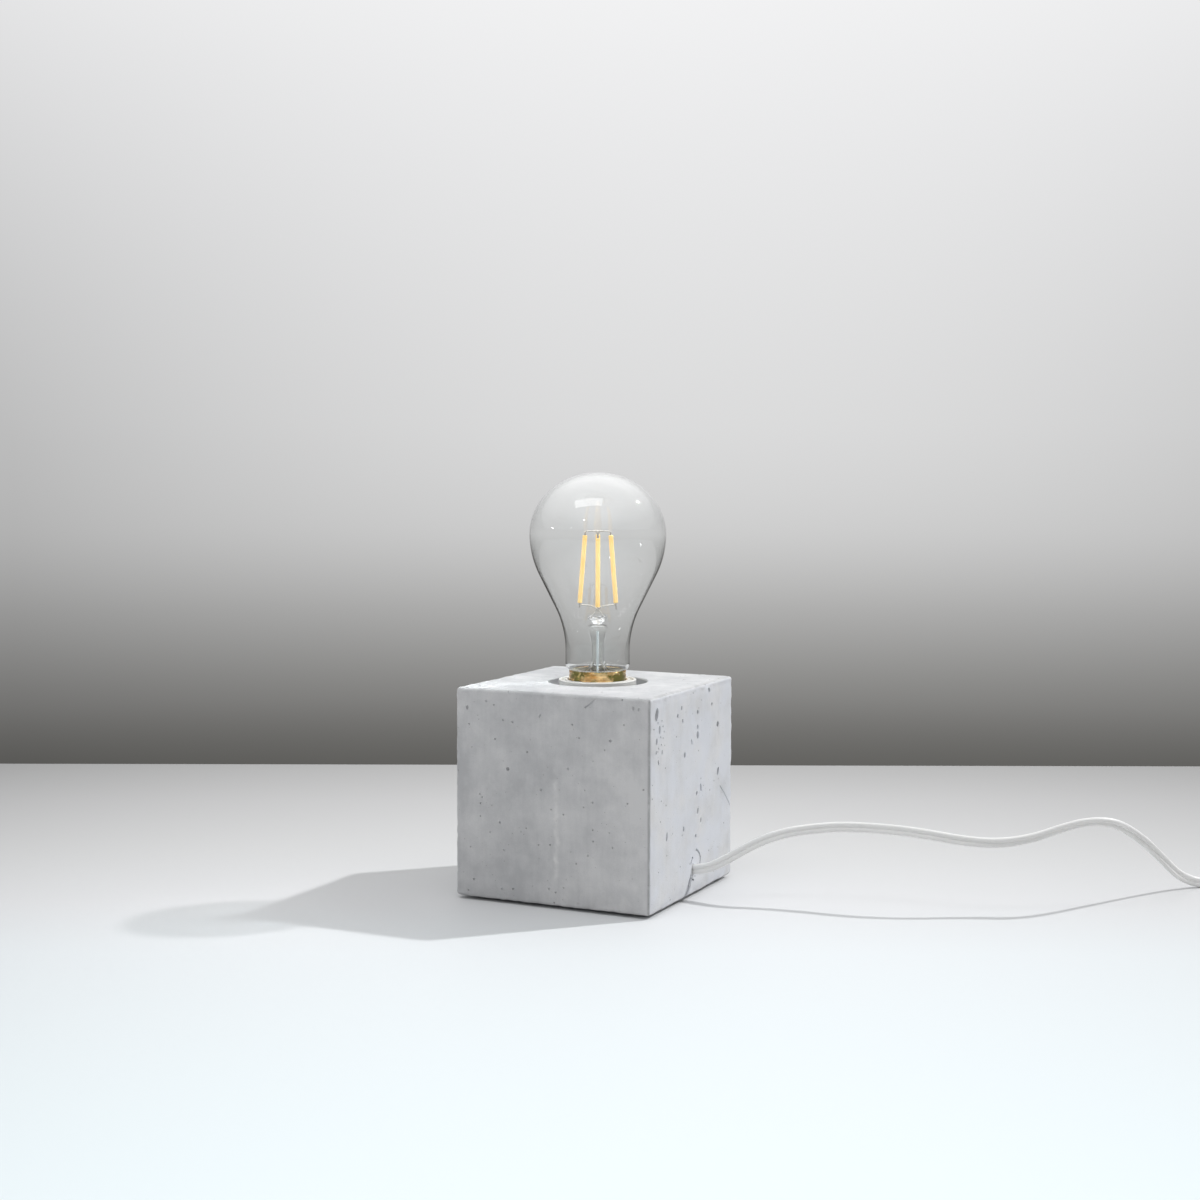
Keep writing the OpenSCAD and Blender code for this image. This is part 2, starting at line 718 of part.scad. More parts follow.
module glass_stem() {
    foot = glass_foot_r;
    flare_r = foot - glass_t - 0.3;
    curve_r = flare_r - stem_r;
    curve_mid = [flare_r, glass_foot_z + curve_r];
    color([0.9, 0.93, 0.95, 0.35]) in_bulb() union() {
        rotate_extrude($fn = 48) polygon(concat(
            [[foot - 1.8, glass_foot_z - 0.9], [foot, glass_foot_z - 0.9], [foot, glass_foot_z]],
            arc(curve_mid, curve_r, 270, 180, 6),
            [[stem_r, press_z0], [stem_r - stem_wall, press_z0]],
            arc(curve_mid, curve_r + stem_wall, 180, 262, 6)));
        translate([0, 0, press_z0 - eps]) linear_extrude(press_z1 - press_z0) slot_2d(press_w, press_t);
    }
}

module exhaust_tube() {
    color([0.9, 0.93, 0.95, 0.35])
        ring(0.9, 0.45, glass_foot_z - 2.5, press_z0 - 0.1, $fn = 24);
}

module at_sticks() {
    in_bulb() for (i = [0:stick_count - 1]) rotate([0, 0, i * 360 / stick_count]) children();
}

module led_filaments() {
    color("#f3b33d") at_sticks()
        rod([stick_low_r, 0, stick_z0], [stick_top_r, 0, stick_z1], stick_r);
}

// Metal ends: flat tabs that the sticks' wires are welded to
module filament_tabs() {
    lean = atan((stick_low_r - stick_top_r) / stick_h);
    tab = [0.3, 1.1, tab_h];
    color("silver") at_sticks() {
        translate([stick_low_r, 0, stick_z0]) rotate([0, -lean, 0])
            translate([-tab[0] / 2, -tab[1] / 2, -tab[2]]) cube(tab);
        translate([stick_top_r, 0, stick_z1]) rotate([0, -lean, 0])
            translate([-tab[0] / 2, -tab[1] / 2, 0]) cube(tab);
    }
}

// Wires from the sticks' upper ends to a glass bead on the axis
module top_hub() {
    lean = (stick_low_r - stick_top_r) / stick_h;
    tip = [stick_top_r - tab_h * lean, 0, stick_z1 + tab_h + hook_r + fit];
    color("silver") in_bulb() union() {
        disc(1.2, hub_top_z - 0.8, hub_top_z + 0.8);
        for (i = [0:stick_count - 1]) rotate([0, 0, i * 360 / stick_count])
            rod([0, 0, hub_top_z], tip, hook_r);
    }
}

// Wires from the press to the sticks' lower ends
module lower_hub() {
    post = press_w / 2 - 2;
    lean = (stick_low_r - stick_top_r) / stick_h;
    tip = [stick_low_r + tab_h * lean, 0, stick_z0 - tab_h - hook_r - fit];
    knot = [0, 0, hub_low_z - 1.2];
    color("silver") in_bulb() union() {
        for (s = [-1, 1]) rod([s * post, 0, press_z1 + loose], knot, hook_r);
        translate(knot) sphere(r = 0.9, $fn = 24);
        for (i = [0:stick_count - 1]) rotate([0, 0, i * 360 / stick_count]) rod(knot, tip, hook_r);
    }
}

// Two wires from the electronics up through the stem to the press
module lead_wires() {
    color("#b06a3a") in_bulb() for (s = [-1, 1]) {
        points = [
            [s * 5, 0, board_z1], [s * 4.8, 0, glass_foot_z - 2.2], [s * 3.4, 0, glass_foot_z + 2],
            [s * 1.8, 0, glass_foot_z + 7], [s * 1.5, 0, glass_foot_z + 10], [s * 1.5, 0, press_z0 - 0.1]
        ];
        tube(points, [for (p = points) 0], round_outline(0.35, 6), [0, 0, 1], [0, 0, 1]);
    }
}

module driver_board() {
    half = cap_bore_r - 2.5;
    color("#2f7a4f") in_bulb() box(-half, half, -board_t / 2, board_t / 2, board_z0, board_z1);
}

module driver_parts() {
    face = board_t / 2 + fit;
    color("#222222") in_bulb() union() {
        translate([-3, face + 3, board_z0 + 2]) cylinder(r = 3, h = 9, $fn = 32);
        box(1.5, 6, face, face + 1.6, board_z0 + 2, board_z0 + 8);
        box(-4, 4, -face - 1.8, -face, board_z0 + 2, board_z0 + 6);
        translate([-3, -face - 1.2, board_z0 + 10]) rotate([0, 90, 0]) cylinder(r = 1.2, h = 6, $fn = 24);
    }
}

module cap_insulator() {
    r = thread_minor_r - 1.65 - clear;
    color("#1d1d1d") rotate_extrude() polygon([
        [2.1, tip_z + 0.85], [5.0, tip_z + 0.85], [5.0, tip_z + 0.4], [r, tip_z + 1.5],
        [r, tip_z + 3.6], [2.1, tip_z + 3.6]
    ]);
}

module bulb_contact() {
    color("silver") rotate_extrude() polygon([
        [0, tip_z], [4.2, tip_z], [4.8, tip_z + 0.4], [4.8, tip_z + 0.8], [2, tip_z + 0.8],
        [2, tip_z + 4.4], [0, tip_z + 4.4]
    ]);
}

// ---------------------------------------------------------------- cord

function dir2(a) = [cos(a), sin(a)];
function on_table(xy, z) = [xy[0] + out_x, xy[1], z];

sw_in = sw_place - sw_len / 2 * dir2(sw_heading);
sw_out = sw_place + sw_len / 2 * dir2(sw_heading);
coil_in = sw_out + lead_len * dir2(sw_heading);
coil_mid = coil_in - coil_out_r * dir2(coil_start);
coil_end_angle = coil_start - 360 * (2 * coil_turns);
coil_out = coil_mid + coil_out_r * dir2(coil_end_angle);
tail_heading = coil_end_angle - 90;
relief_in = coil_out + tail_len * dir2(tail_heading);

module cord_to_switch() {
    route = concat([for (p = switch_route) at_exit(p)], [on_table(sw_in, sw_cord_z)]);
    rolls = concat([for (p = switch_route) p[3]], [0]);
    color("#f2f2ee") tube(route, rolls, cord_outline(cord_w, cord_t), [1, 0, 0],
        [cos(sw_heading), sin(sw_heading), 0]);
}

module cord_to_coil() {
    z1 = coil_z;
    d = dir2(sw_heading);
    steps = [0, 7, 15, 23, lead_len - coil_lead];
    drop = [0, 0.15, 0.5, 0.85, 1];
    route = [for (i = [0:4]) on_table(sw_out + steps[i] * d, sw_cord_z + (z1 - sw_cord_z) * drop[i])];
    h = [d[0], d[1], 0];
    color("#f2f2ee") tube(route, [for (p = route) 0], cord_outline(cord_w, cord_t), h, h);
}

// The coil's middle line. t counts turns: the cord spirals in on the lower layer, climbs in
// the half turn about the middle, and spirals out on the upper layer.
function coil_point(t) =
    let (a = coil_start - 360 * t,
         r = coil_r + coil_pitch * abs(t - coil_turns),
         k = max(0, min(1, (t - coil_turns + coil_climb) / (2 * coil_climb))),
         z = coil_z + coil_lift * k)
    [out_x + coil_mid[0] + r * cos(a), coil_mid[1] + r * sin(a), z];

coil_rings = round(2 * coil_turns * coil_steps);
coil_in_dir = [cos(sw_heading), sin(sw_heading), 0];
coil_out_dir = [cos(tail_heading), sin(tail_heading), 0];
coil_route = concat(
    [coil_point(0) - coil_lead * coil_in_dir],
    [for (i = [0:coil_rings]) coil_point(2 * coil_turns * i / coil_rings)],
    [coil_point(2 * coil_turns) + coil_lead * coil_out_dir]);

// The least gap between turns, on the rings' own points
function coil_ring(i) =
    ring_at(coil_route[i], heading(coil_route, i, coil_in_dir, coil_out_dir), 0,
        coil_outline(cord_w, cord_t));
function least_gap() = min([for (i = [1:3:coil_rings]) for (k = [coil_steps:coil_steps:coil_rings - i])
    for (e = [-1:1]) let (j = i + k + e) if (j <= coil_rings)
        let (a = coil_ring(i), b = coil_ring(j)) min([for (p = a) for (q = b) norm(p - q)])]);
function route_len(p) = len(p) < 2 ? 0 : sum([for (i = [1:len(p) - 1]) norm(p[i] - p[i - 1])]);
function sum(v, i = 0) = i == len(v) ? 0 : v[i] + sum(v, i + 1);

module cord_coil() {
    echo(coil_least_gap = least_gap(), coil_length = route_len(coil_route));
    color("#f2f2ee") tube(coil_route, [for (p = coil_route) 0], coil_outline(cord_w, cord_t),
        coil_in_dir, coil_out_dir);
}

// A flat band round the turns, on the side opposite to where the cord comes in
module cord_tie() {
    r0 = coil_r - cord_t / 2 - tie_gap;
    r1 = coil_out_r + cord_t / 2 + tie_gap;
    h = coil_lift + cord_w + 2 * loose + 2 * tie_t;
    color("#d5d5d0") translate([out_x + coil_mid[0], coil_mid[1], 0]) rotate([0, 0, coil_start + 135])
        translate([0, tie_w / 2, 0]) rotate([90, 0, 0]) linear_extrude(tie_w) difference() {
            translate([r0 - tie_t, 0]) square([r1 - r0 + 2 * tie_t, h]);
            translate([r0, tie_t]) square([r1 - r0, h - 2 * tie_t]);
        }
}

module cord_to_plug() {
    start = coil_route[len(coil_route) - 1];
    finish = on_table(relief_in, plug_z);
    k = [0, 0.12, 0.5, 0.88, 1];
    s = [0, 0.25, 0.5, 0.75, 1];
    route = [for (i = [0:4]) [start[0] + (finish[0] - start[0]) * s[i],
        start[1] + (finish[1] - start[1]) * s[i], start[2] + (finish[2] - start[2]) * k[i]]];
    color("#f2f2ee") tube(route, [for (p = route) 0], cord_outline(cord_w, cord_t),
        coil_out_dir, coil_out_dir);
}

// ---------------------------------------------------------------- switch

// The switch's own frame: x along it, y across it, z up from the table
module at_switch() {
    translate([out_x + sw_place[0], sw_place[1], 0]) rotate([0, 0, sw_heading]) children();
}

// Plan of the switch: full width in the middle, narrower at the cord's ends
module switch_plan(inset) {
    l = sw_len / 2 - inset;
    w = sw_w / 2 - inset;
    n = sw_nose_w / 2 - inset;
    k = sw_len / 2 - 12;
    polygon([[l, -n], [l, n], [k, w], [-k, w], [-l, n], [-l, -n], [-k, -w], [k, -w]]);
}

module switch_screw_places() {
    for (a = [0, 180]) rotate([0, 0, a]) translate([sw_screw_u - 5, sw_screw_v, 0]) children();
}

// The cord's way through both end walls
module switch_cord_way() {
    translate([-sw_len, 0, sw_cord_z]) rotate([0, 90, 0])
        linear_extrude(2 * sw_len) slot_2d(cord_w + 0.3, cord_t + 0.3);
}

module switch_lower() {
    color("#f4f4f1") at_switch() difference() {
        union() {
            difference() {
                linear_extrude(sw_split_z) switch_plan(0);
                translate([0, 0, sw_wall]) linear_extrude(sw_split_z) switch_plan(sw_wall);
            }
            switch_screw_places() disc(2.8, 1, sw_split_z);
        }
        switch_cord_way();
        switch_screw_places() {
            disc(1.5, -1, sw_split_z + 1);
            disc(2.5, -1, 2.2);
        }
    }
}

module switch_upper() {
    wx = rocker_r + rocker_gap;
    wy = rocker_w / 2 + rocker_gap;
    color("#f4f4f1") at_switch() difference() {
        union() {
            difference() {
                translate([0, 0, sw_split_z]) linear_extrude(sw_h - sw_split_z - 1) switch_plan(0);
                translate([0, 0, sw_split_z - 1]) linear_extrude(sw_h - sw_split_z + 1 - sw_wall)
                    switch_plan(sw_wall);
            }
            translate([0, 0, sw_h - 1 - eps]) linear_extrude(1 + eps) switch_plan(1);
            switch_screw_places() disc(2.8, sw_split_z, sw_h - 2);
            // walls beside the rocker, which carry its pin
            for (s = [-1, 1])
                translate([0, s * (wy + 1), 0]) box(-4, 4, -1, 1, pin_z - 3.5, sw_h - 1.5);
        }
        switch_cord_way();
        box(-wx, wx, -wy, wy, ledge_z - 5, sw_h + 1);
        switch_screw_places() disc(1.2, sw_split_z - 1, sw_h - 3.5);
        translate([0, wy + 1.6, pin_z]) rotate([90, 0, 0])
            cylinder(r = rocker_pin_r + eps, h = 2 * wy + 3.2, $fn = 32);
    }
}

// Rocker at rest, tilted with its +x end up. Its ends are round about the pin.
module rocker_profile() {
    intersection() {
        circle(r = rocker_r, $fn = 96);
        polygon([
            [-rocker_r - 1, -rocker_base], [rocker_r + 1, -rocker_base], [rocker_r + 1, 4.4],
            [0, 3], [-rocker_r - 1, 4.4]
        ]);
    }
}

module at_rocker() {
    at_switch() translate([0, 0, pin_z]) rotate([0, -rocker_tilt, 0]) children();
}

module switch_rocker() {
    color("#fafaf7") at_rocker() difference() {
        translate([0, rocker_w / 2, 0]) rotate([90, 0, 0]) linear_extrude(rocker_w) rocker_profile();
        translate([0, rocker_w, 0]) rotate([90, 0, 0])
            cylinder(r = rocker_pin_r + fit, h = 2 * rocker_w, $fn = 32);
    }
}

module switch_pin() {
    h = rocker_w + 2 * rocker_gap + 3;
    color("silver") at_switch() translate([0, h / 2, pin_z]) rotate([90, 0, 0])
        cylinder(r = rocker_pin_r, h = h, $fn = 32);
}

// Brass plate under the rocker's +x side, which joins the two contacts
module switch_bridge() {
    color("#c49a45") at_rocker()
        box(contact_u - 2, contact_u + 2, -4.5, 4.5, -rocker_base - bridge_t, -rocker_base);
}

// Two brass contacts with wire terminals, on the lower shell's floor
module switch_contacts() {
    color("#b08d3c") at_switch() for (s = [-1, 1]) {
        box(contact_u - 1.5, contact_u + 1.5, s * contact_v - 1.2, s * contact_v + 1.2,
            sw_wall, contact_top);
        difference() {
            union() {
                box(s * 12 - 2.5, s * 12 + 2.5, s * contact_v - 2.4, s * contact_v + 2.4,
                    sw_wall, sw_wall + 7);
                box(min(contact_u, s * 12), max(contact_u, s * 12), s * contact_v - 1, s * contact_v + 1,
                    sw_wall, sw_wall + 1);
            }
            translate([s * 12 - 4, s * contact_v, sw_wall + 4]) rotate([0, 90, 0])
                cylinder(r = core_r + 0.15, h = 8, $fn = 24);
        }
    }
}

// The cord's ends inside the switch: the stripped sheath, the broken core and the whole one
module switch_wires() {
    end_u = sw_len / 2;
    bend_u = end_u - sw_stub;
    live_z = sw_wall + 4;
    color("#e8e8e2") at_switch() union() {
        for (a = [0, 180]) rotate([0, 0, a])
            translate([bend_u, 0, sw_cord_z]) rotate([0, 90, 0])
                linear_extrude(sw_stub) twin_2d(cord_w, cord_t);
        for (s = [-1, 1]) {
            live = [
                [s * bend_u, 0, sw_cord_z - core_gap], [s * (bend_u - 2.5), s * 0.5, sw_cord_z - core_gap],
                [s * (bend_u - 4.5), s * 2.2, live_z], [s * (bend_u - 6.5), s * contact_v, live_z],
                [s * 11, s * contact_v, live_z]
            ];
            tube(live, [for (p = live) 0], round_outline(core_r, 8), [-s, 0, 0], [-s, 0, 0]);
        }
        whole = [
            [-bend_u, 0, sw_cord_z + core_gap], [-bend_u + 4, 0.6, sw_cord_z + core_gap],
            [-14, 8.4, sw_cord_z + 1.5], [-6, 9.6, sw_cord_z - 1], [6, 9.6, sw_cord_z - 1],
            [14, 8.4, sw_cord_z + 1.5], [bend_u - 4, 0.6, sw_cord_z + core_gap],
            [bend_u, 0, sw_cord_z + core_gap]
        ];
        tube(whole, [for (p = whole) 0], round_outline(core_r, 8), [1, 0, 0], [1, 0, 0]);
    }
}

// Bars that press the cord down just inside each end
module switch_clamps() {
    u = sw_len / 2 - 5.5;
    z = sw_cord_z + cord_w / 2 + fit;
    color("#d9d9d4") at_switch() for (s = [-1, 1])
        box(s * u - 2, s * u + 2, -4.6, 4.6, z, z + 2);
}

module switch_screws() {
    color("silver") at_switch() switch_screw_places() difference() {
        union() {
            disc(2.3, 0.4, 2.2);
            disc(1.15, 0.4, sw_h - 4);
        }
        box(-3, 3, -0.3, 0.3, -1, 1);
    }
}

// ---------------------------------------------------------------- plug

// The plug's own frame: x runs from the strain relief to the pins
module at_plug() {
    translate([out_x + relief_in[0], relief_in[1], plug_z]) rotate([0, 0, tail_heading]) children();
}

module plug_relief() {
    groove_w = 1.2;
    grooves = 4;
    color("#f2f2ee") at_plug() rotate([0, 90, 0]) difference() {
        cylinder(r1 = relief_r0, r2 = relief_r1, h = relief_len, $fn = 48);
        for (i = [1:grooves]) translate([0, 0, i * relief_len / (grooves + 1) - groove_w / 2])
            difference() {
                cylinder(r = relief_r1 + 1, h = groove_w, $fn = 48);
                translate([0, 0, -1]) cylinder(r = relief_r0 - 0.4, h = groove_w + 2, $fn = 48);
            }
    }
}

module plug_body() {
    x0 = relief_len;
    x1 = relief_len + plug_len;
    w = plug_w / 2;
    n = relief_r1 + 1.2;
    h = plug_t / 2;
    c = plug_t / 4;
    grip = x0 + plug_len * 0.45;
    color("#f2f2ee") at_plug() difference() {
        intersection() {
            translate([0, 0, -h]) linear_extrude(plug_t)
                polygon([[x0, -n], [grip, -w * 0.72], [x1 - 6, -w], [x1, -w], [x1, w], [x1 - 6, w],
                         [grip, w * 0.72], [x0, n]]);
            translate([x0 - 1, 0, 0]) rotate([90, 0, 90]) linear_extrude(plug_len + 2)
                polygon([[-w, -h + c], [-w + c, -h], [w - c, -h], [w, -h + c],
                         [w, h - c], [w - c, h], [-w + c, h], [-w, h - c]]);
        }
        for (s = [-1, 1]) translate([x1 - 9, s * plug_pin_gap / 2, 0]) rotate([0, 90, 0])
            cylinder(r = pin_r + eps, h = 10, $fn = 48);
    }
}

module plug_pins() {
    x1 = relief_len + plug_len;
    color("silver") at_plug() for (s = [-1, 1])
        translate([x1 - 9, s * plug_pin_gap / 2, 0]) rotate([0, 90, 0]) union() {
            cylinder(r = pin_r, h = 9, $fn = 48);
            cylinder(r = pin_r - sleeve_t, h = 9 + sleeve_len, $fn = 48);
            translate([0, 0, 9 + sleeve_len])
                cylinder(r = pin_r, h = plug_pin_len - sleeve_len - 1, $fn = 48);
            translate([0, 0, 8 + plug_pin_len]) cylinder(r1 = pin_r, r2 = pin_r - 0.8, h = 1, $fn = 48);
        }
}

module pin_sleeves() {
    x1 = relief_len + plug_len;
    color("#3a3a3a") at_plug() for (s = [-1, 1])
        translate([x1, s * plug_pin_gap / 2, 0]) rotate([0, 90, 0]) difference() {
            cylinder(r = pin_r - 0.05, h = sleeve_len, $fn = 48);
            translate([0, 0, -1]) cylinder(r = pin_r - sleeve_t, h = sleeve_len + 2, $fn = 48);
        }
}

concrete_block();
foot_pads();
bottom_cover();
cover_screws();
threaded_inserts();
fixing_nipple();
nipple_washer();
nipple_nut();
outlet_sleeve();
cord_inner();
clamp_front();
clamp_back();
clamp_screws();
live_wire();
neutral_wire();
holder_base();
holder_grub_screw();
contact_block();
live_terminal();
neutral_terminal();
terminal_screws();
centre_contact();
screw_shell();
holder_skirt();
bulb_cap();
bulb_glass();
basing_cement();
glass_stem();
exhaust_tube();
led_filaments();
filament_tabs();
top_hub();
lower_hub();
lead_wires();
driver_board();
driver_parts();
cap_insulator();
bulb_contact();
cord_to_switch();
switch_lower();
switch_upper();
switch_rocker();
switch_pin();
switch_bridge();
switch_contacts();
switch_wires();
switch_clamps();
switch_screws();
cord_to_coil();
cord_coil();
cord_tie();
cord_to_plug();
plug_relief();
plug_body();
plug_pins();
pin_sleeves();
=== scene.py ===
# %% [markdown]
# # A bare bulb table lamp in concrete, glass and cord
#
# The lamp is a cast concrete cube with a white lampholder sunk in its top, a clear
# pear-shaped filament bulb and a white flat twin cord. The CAD model is the fixed frame:
# every piece made here lies where its CAD solid lies, and rides on the same body.

# %% Load the CAD frame
import json
import math
import random

import bpy
from mathutils import Euler, Matrix, Vector
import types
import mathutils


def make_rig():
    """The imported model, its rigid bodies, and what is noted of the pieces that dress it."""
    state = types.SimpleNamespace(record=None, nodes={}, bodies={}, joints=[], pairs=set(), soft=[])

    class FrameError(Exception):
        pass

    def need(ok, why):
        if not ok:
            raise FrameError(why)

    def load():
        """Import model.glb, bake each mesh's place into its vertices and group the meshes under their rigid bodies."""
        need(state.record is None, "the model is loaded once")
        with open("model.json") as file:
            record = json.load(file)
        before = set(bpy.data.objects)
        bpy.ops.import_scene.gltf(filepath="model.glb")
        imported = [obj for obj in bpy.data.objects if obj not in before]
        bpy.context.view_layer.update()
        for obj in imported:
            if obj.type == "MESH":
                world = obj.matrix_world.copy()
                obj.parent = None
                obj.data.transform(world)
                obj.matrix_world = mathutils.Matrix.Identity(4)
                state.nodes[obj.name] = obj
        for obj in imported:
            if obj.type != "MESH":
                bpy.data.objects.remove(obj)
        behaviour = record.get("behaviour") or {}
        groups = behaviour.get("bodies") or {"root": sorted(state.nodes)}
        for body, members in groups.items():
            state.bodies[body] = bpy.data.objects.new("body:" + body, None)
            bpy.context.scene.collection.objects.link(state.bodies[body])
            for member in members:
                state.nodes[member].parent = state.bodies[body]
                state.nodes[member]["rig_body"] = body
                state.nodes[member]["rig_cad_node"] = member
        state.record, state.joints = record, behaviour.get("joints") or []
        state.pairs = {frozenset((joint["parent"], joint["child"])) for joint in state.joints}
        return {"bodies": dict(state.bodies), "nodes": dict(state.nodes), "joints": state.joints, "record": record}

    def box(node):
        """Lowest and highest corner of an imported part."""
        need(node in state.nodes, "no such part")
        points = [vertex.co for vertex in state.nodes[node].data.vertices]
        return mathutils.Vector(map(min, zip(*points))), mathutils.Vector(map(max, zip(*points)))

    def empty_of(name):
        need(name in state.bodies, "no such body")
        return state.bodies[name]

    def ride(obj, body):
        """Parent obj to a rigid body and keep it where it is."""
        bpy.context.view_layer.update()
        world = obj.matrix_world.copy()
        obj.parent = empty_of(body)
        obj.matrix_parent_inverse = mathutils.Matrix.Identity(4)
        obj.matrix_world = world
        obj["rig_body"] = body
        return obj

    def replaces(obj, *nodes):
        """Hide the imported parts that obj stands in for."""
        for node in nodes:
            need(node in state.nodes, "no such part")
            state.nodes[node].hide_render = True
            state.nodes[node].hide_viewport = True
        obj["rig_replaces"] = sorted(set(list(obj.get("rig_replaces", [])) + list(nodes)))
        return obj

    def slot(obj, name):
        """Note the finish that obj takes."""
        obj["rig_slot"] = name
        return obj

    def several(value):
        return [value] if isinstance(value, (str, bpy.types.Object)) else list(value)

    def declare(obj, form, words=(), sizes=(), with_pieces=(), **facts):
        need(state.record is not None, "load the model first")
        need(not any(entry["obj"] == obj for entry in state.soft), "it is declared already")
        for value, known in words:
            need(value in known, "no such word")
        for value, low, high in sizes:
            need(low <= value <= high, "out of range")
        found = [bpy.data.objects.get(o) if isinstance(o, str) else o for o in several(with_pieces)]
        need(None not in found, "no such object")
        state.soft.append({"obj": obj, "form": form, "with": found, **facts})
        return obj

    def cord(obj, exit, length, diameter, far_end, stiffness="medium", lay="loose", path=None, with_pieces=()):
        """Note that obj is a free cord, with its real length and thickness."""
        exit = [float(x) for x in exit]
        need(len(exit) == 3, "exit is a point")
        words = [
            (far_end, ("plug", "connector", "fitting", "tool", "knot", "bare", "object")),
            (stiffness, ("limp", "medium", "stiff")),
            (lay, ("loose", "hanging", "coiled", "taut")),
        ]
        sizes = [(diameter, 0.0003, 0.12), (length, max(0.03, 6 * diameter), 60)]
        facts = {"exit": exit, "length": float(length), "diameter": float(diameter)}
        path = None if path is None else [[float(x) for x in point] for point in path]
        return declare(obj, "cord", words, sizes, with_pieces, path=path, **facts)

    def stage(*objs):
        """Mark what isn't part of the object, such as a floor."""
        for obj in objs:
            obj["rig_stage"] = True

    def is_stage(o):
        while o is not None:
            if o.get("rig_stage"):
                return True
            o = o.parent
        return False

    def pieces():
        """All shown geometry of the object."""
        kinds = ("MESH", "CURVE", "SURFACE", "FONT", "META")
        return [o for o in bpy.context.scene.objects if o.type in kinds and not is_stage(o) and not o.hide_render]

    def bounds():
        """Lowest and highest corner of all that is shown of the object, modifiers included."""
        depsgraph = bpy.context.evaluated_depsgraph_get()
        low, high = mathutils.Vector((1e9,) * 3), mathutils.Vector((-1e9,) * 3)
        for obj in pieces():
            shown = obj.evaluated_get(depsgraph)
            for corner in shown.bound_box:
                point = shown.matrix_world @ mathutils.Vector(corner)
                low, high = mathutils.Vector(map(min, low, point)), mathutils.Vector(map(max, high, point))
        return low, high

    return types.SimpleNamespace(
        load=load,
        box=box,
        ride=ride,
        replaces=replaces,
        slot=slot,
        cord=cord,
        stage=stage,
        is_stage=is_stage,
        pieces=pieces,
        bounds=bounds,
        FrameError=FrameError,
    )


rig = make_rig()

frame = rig.load()
CAD_BOX = [list(corner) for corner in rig.bounds()]
MM = 0.001
print("CAD box in mm:", [[round(v / MM, 1) for v in corner] for corner in CAD_BOX])

# %% [markdown]
# ## Camera
#
# The camera stands a little above the lamp and looks slightly down at it, from in front
# of the corner between the broad left face and the face that the cord leaves. A 58 mm
# lens flattens the cube only a little. The lens and the place were fitted to the cube's
# straight edges, which tell more than the bulb's round ones.

# %% Camera
CAMERA_PLACE = Vector((0.3949, -0.8297, 0.2118))
CAMERA_YAW, CAMERA_PITCH, CAMERA_ROLL = 25.3855, 4.5616, 0.1311
LENS, SENSOR = 58.16, 36


def placed(name, data):
    """A new object in the scene."""
    made = bpy.data.objects.new(name, data)
    bpy.context.scene.collection.objects.link(made)
    return made


def turn_z(degrees):
    return Matrix.Rotation(math.radians(degrees), 3, "Z")


right = Vector((math.cos(math.radians(CAMERA_YAW)), math.sin(math.radians(CAMERA_YAW)), 0))
forward = Vector((-right.y, right.x, 0))
camera = placed("camera", bpy.data.cameras.new("camera"))
camera.data.lens, camera.data.sensor_width = LENS, SENSOR
camera.location = CAMERA_PLACE
look = Euler((math.radians(90 - CAMERA_PITCH), 0, math.radians(CAMERA_YAW))).to_matrix()
camera.rotation_euler = (look @ turn_z(CAMERA_ROLL)).to_euler()
bpy.context.scene.camera = camera
bpy.context.scene.view_settings.view_transform = "Standard"
print("camera at", tuple(CAMERA_PLACE))

# %% [markdown]
# ## Hands on the mesh
#
# An operator acts on all that is selected, and the CAD nodes come in selected, so each
# step starts from nothing selected. Faces, edges or corners are then picked by their place.

# %% Selecting
def hold(*pieces):
    """Object mode, with only these pieces selected and the first one active."""
    if bpy.context.mode != "OBJECT":
        bpy.ops.object.mode_set(mode="OBJECT")
    bpy.ops.object.select_all(action="DESELECT")
    for piece in pieces[::-1]:
        piece.select_set(True)
        bpy.context.view_layer.objects.active = piece


def pick(piece, kind, wanted=None):
    """Edit mode, with those VERT, EDGE or FACE elements selected that are wanted, or all."""
    hold(piece)
    bpy.ops.object.mode_set(mode="EDIT")
    bpy.ops.mesh.select_mode(type=kind)
    bpy.ops.mesh.select_all(action="DESELECT")
    bpy.ops.object.mode_set(mode="OBJECT")
    mesh = piece.data
    elements = {"VERT": mesh.vertices, "EDGE": mesh.edges, "FACE": mesh.polygons}[kind]
    for element in elements:
        element.select = wanted is None or wanted(element)
    bpy.ops.object.mode_set(mode="EDIT")


def edit(piece, kind, wanted, operator, **settings):
    """One operator of edit mode acts on what is wanted of a piece."""
    pick(piece, kind, wanted)
    operator(**settings)
    bpy.ops.object.mode_set(mode="OBJECT")
    return piece


def bevel_where(piece, width, segments, wanted):
    """Bevels the edges whose two ends, in mm, are wanted."""
    ends = piece.data.vertices
    return edit(piece, "EDGE", lambda e: wanted(*(ends[i].co / MM for i in e.vertices)),
                bpy.ops.mesh.bevel, offset=width * MM, segments=segments, affect="EDGES")


def bisect_at(piece, *places):
    """New edges go round the piece, square to x, at places in mm."""
    for x in places:
        edit(piece, "FACE", None, bpy.ops.mesh.bisect, plane_co=(x * MM, 0, 0), plane_no=(1, 0, 0))
    return piece


def face_outwards(piece):
    """Doubles are merged and all faces point out of the closed shell."""
    edit(piece, "VERT", None, bpy.ops.mesh.remove_doubles, threshold=0.002 * MM)
    return edit(piece, "VERT", None, bpy.ops.mesh.normals_make_consistent, inside=False)


# %% Placing, finishing and cutting
def keep_place(piece, name=None):
    """The piece gets its name, and its place, turn and scale go into its mesh."""
    hold(piece)
    bpy.ops.object.transform_apply(location=True, rotation=True, scale=True)
    piece.name = name or piece.name
    return piece


def smooth(piece, degrees=40):
    """Round where faces meet at less than an angle, crisp where they meet at more."""
    hold(piece)
    bpy.ops.object.shade_smooth_by_angle(angle=math.radians(degrees))
    return piece


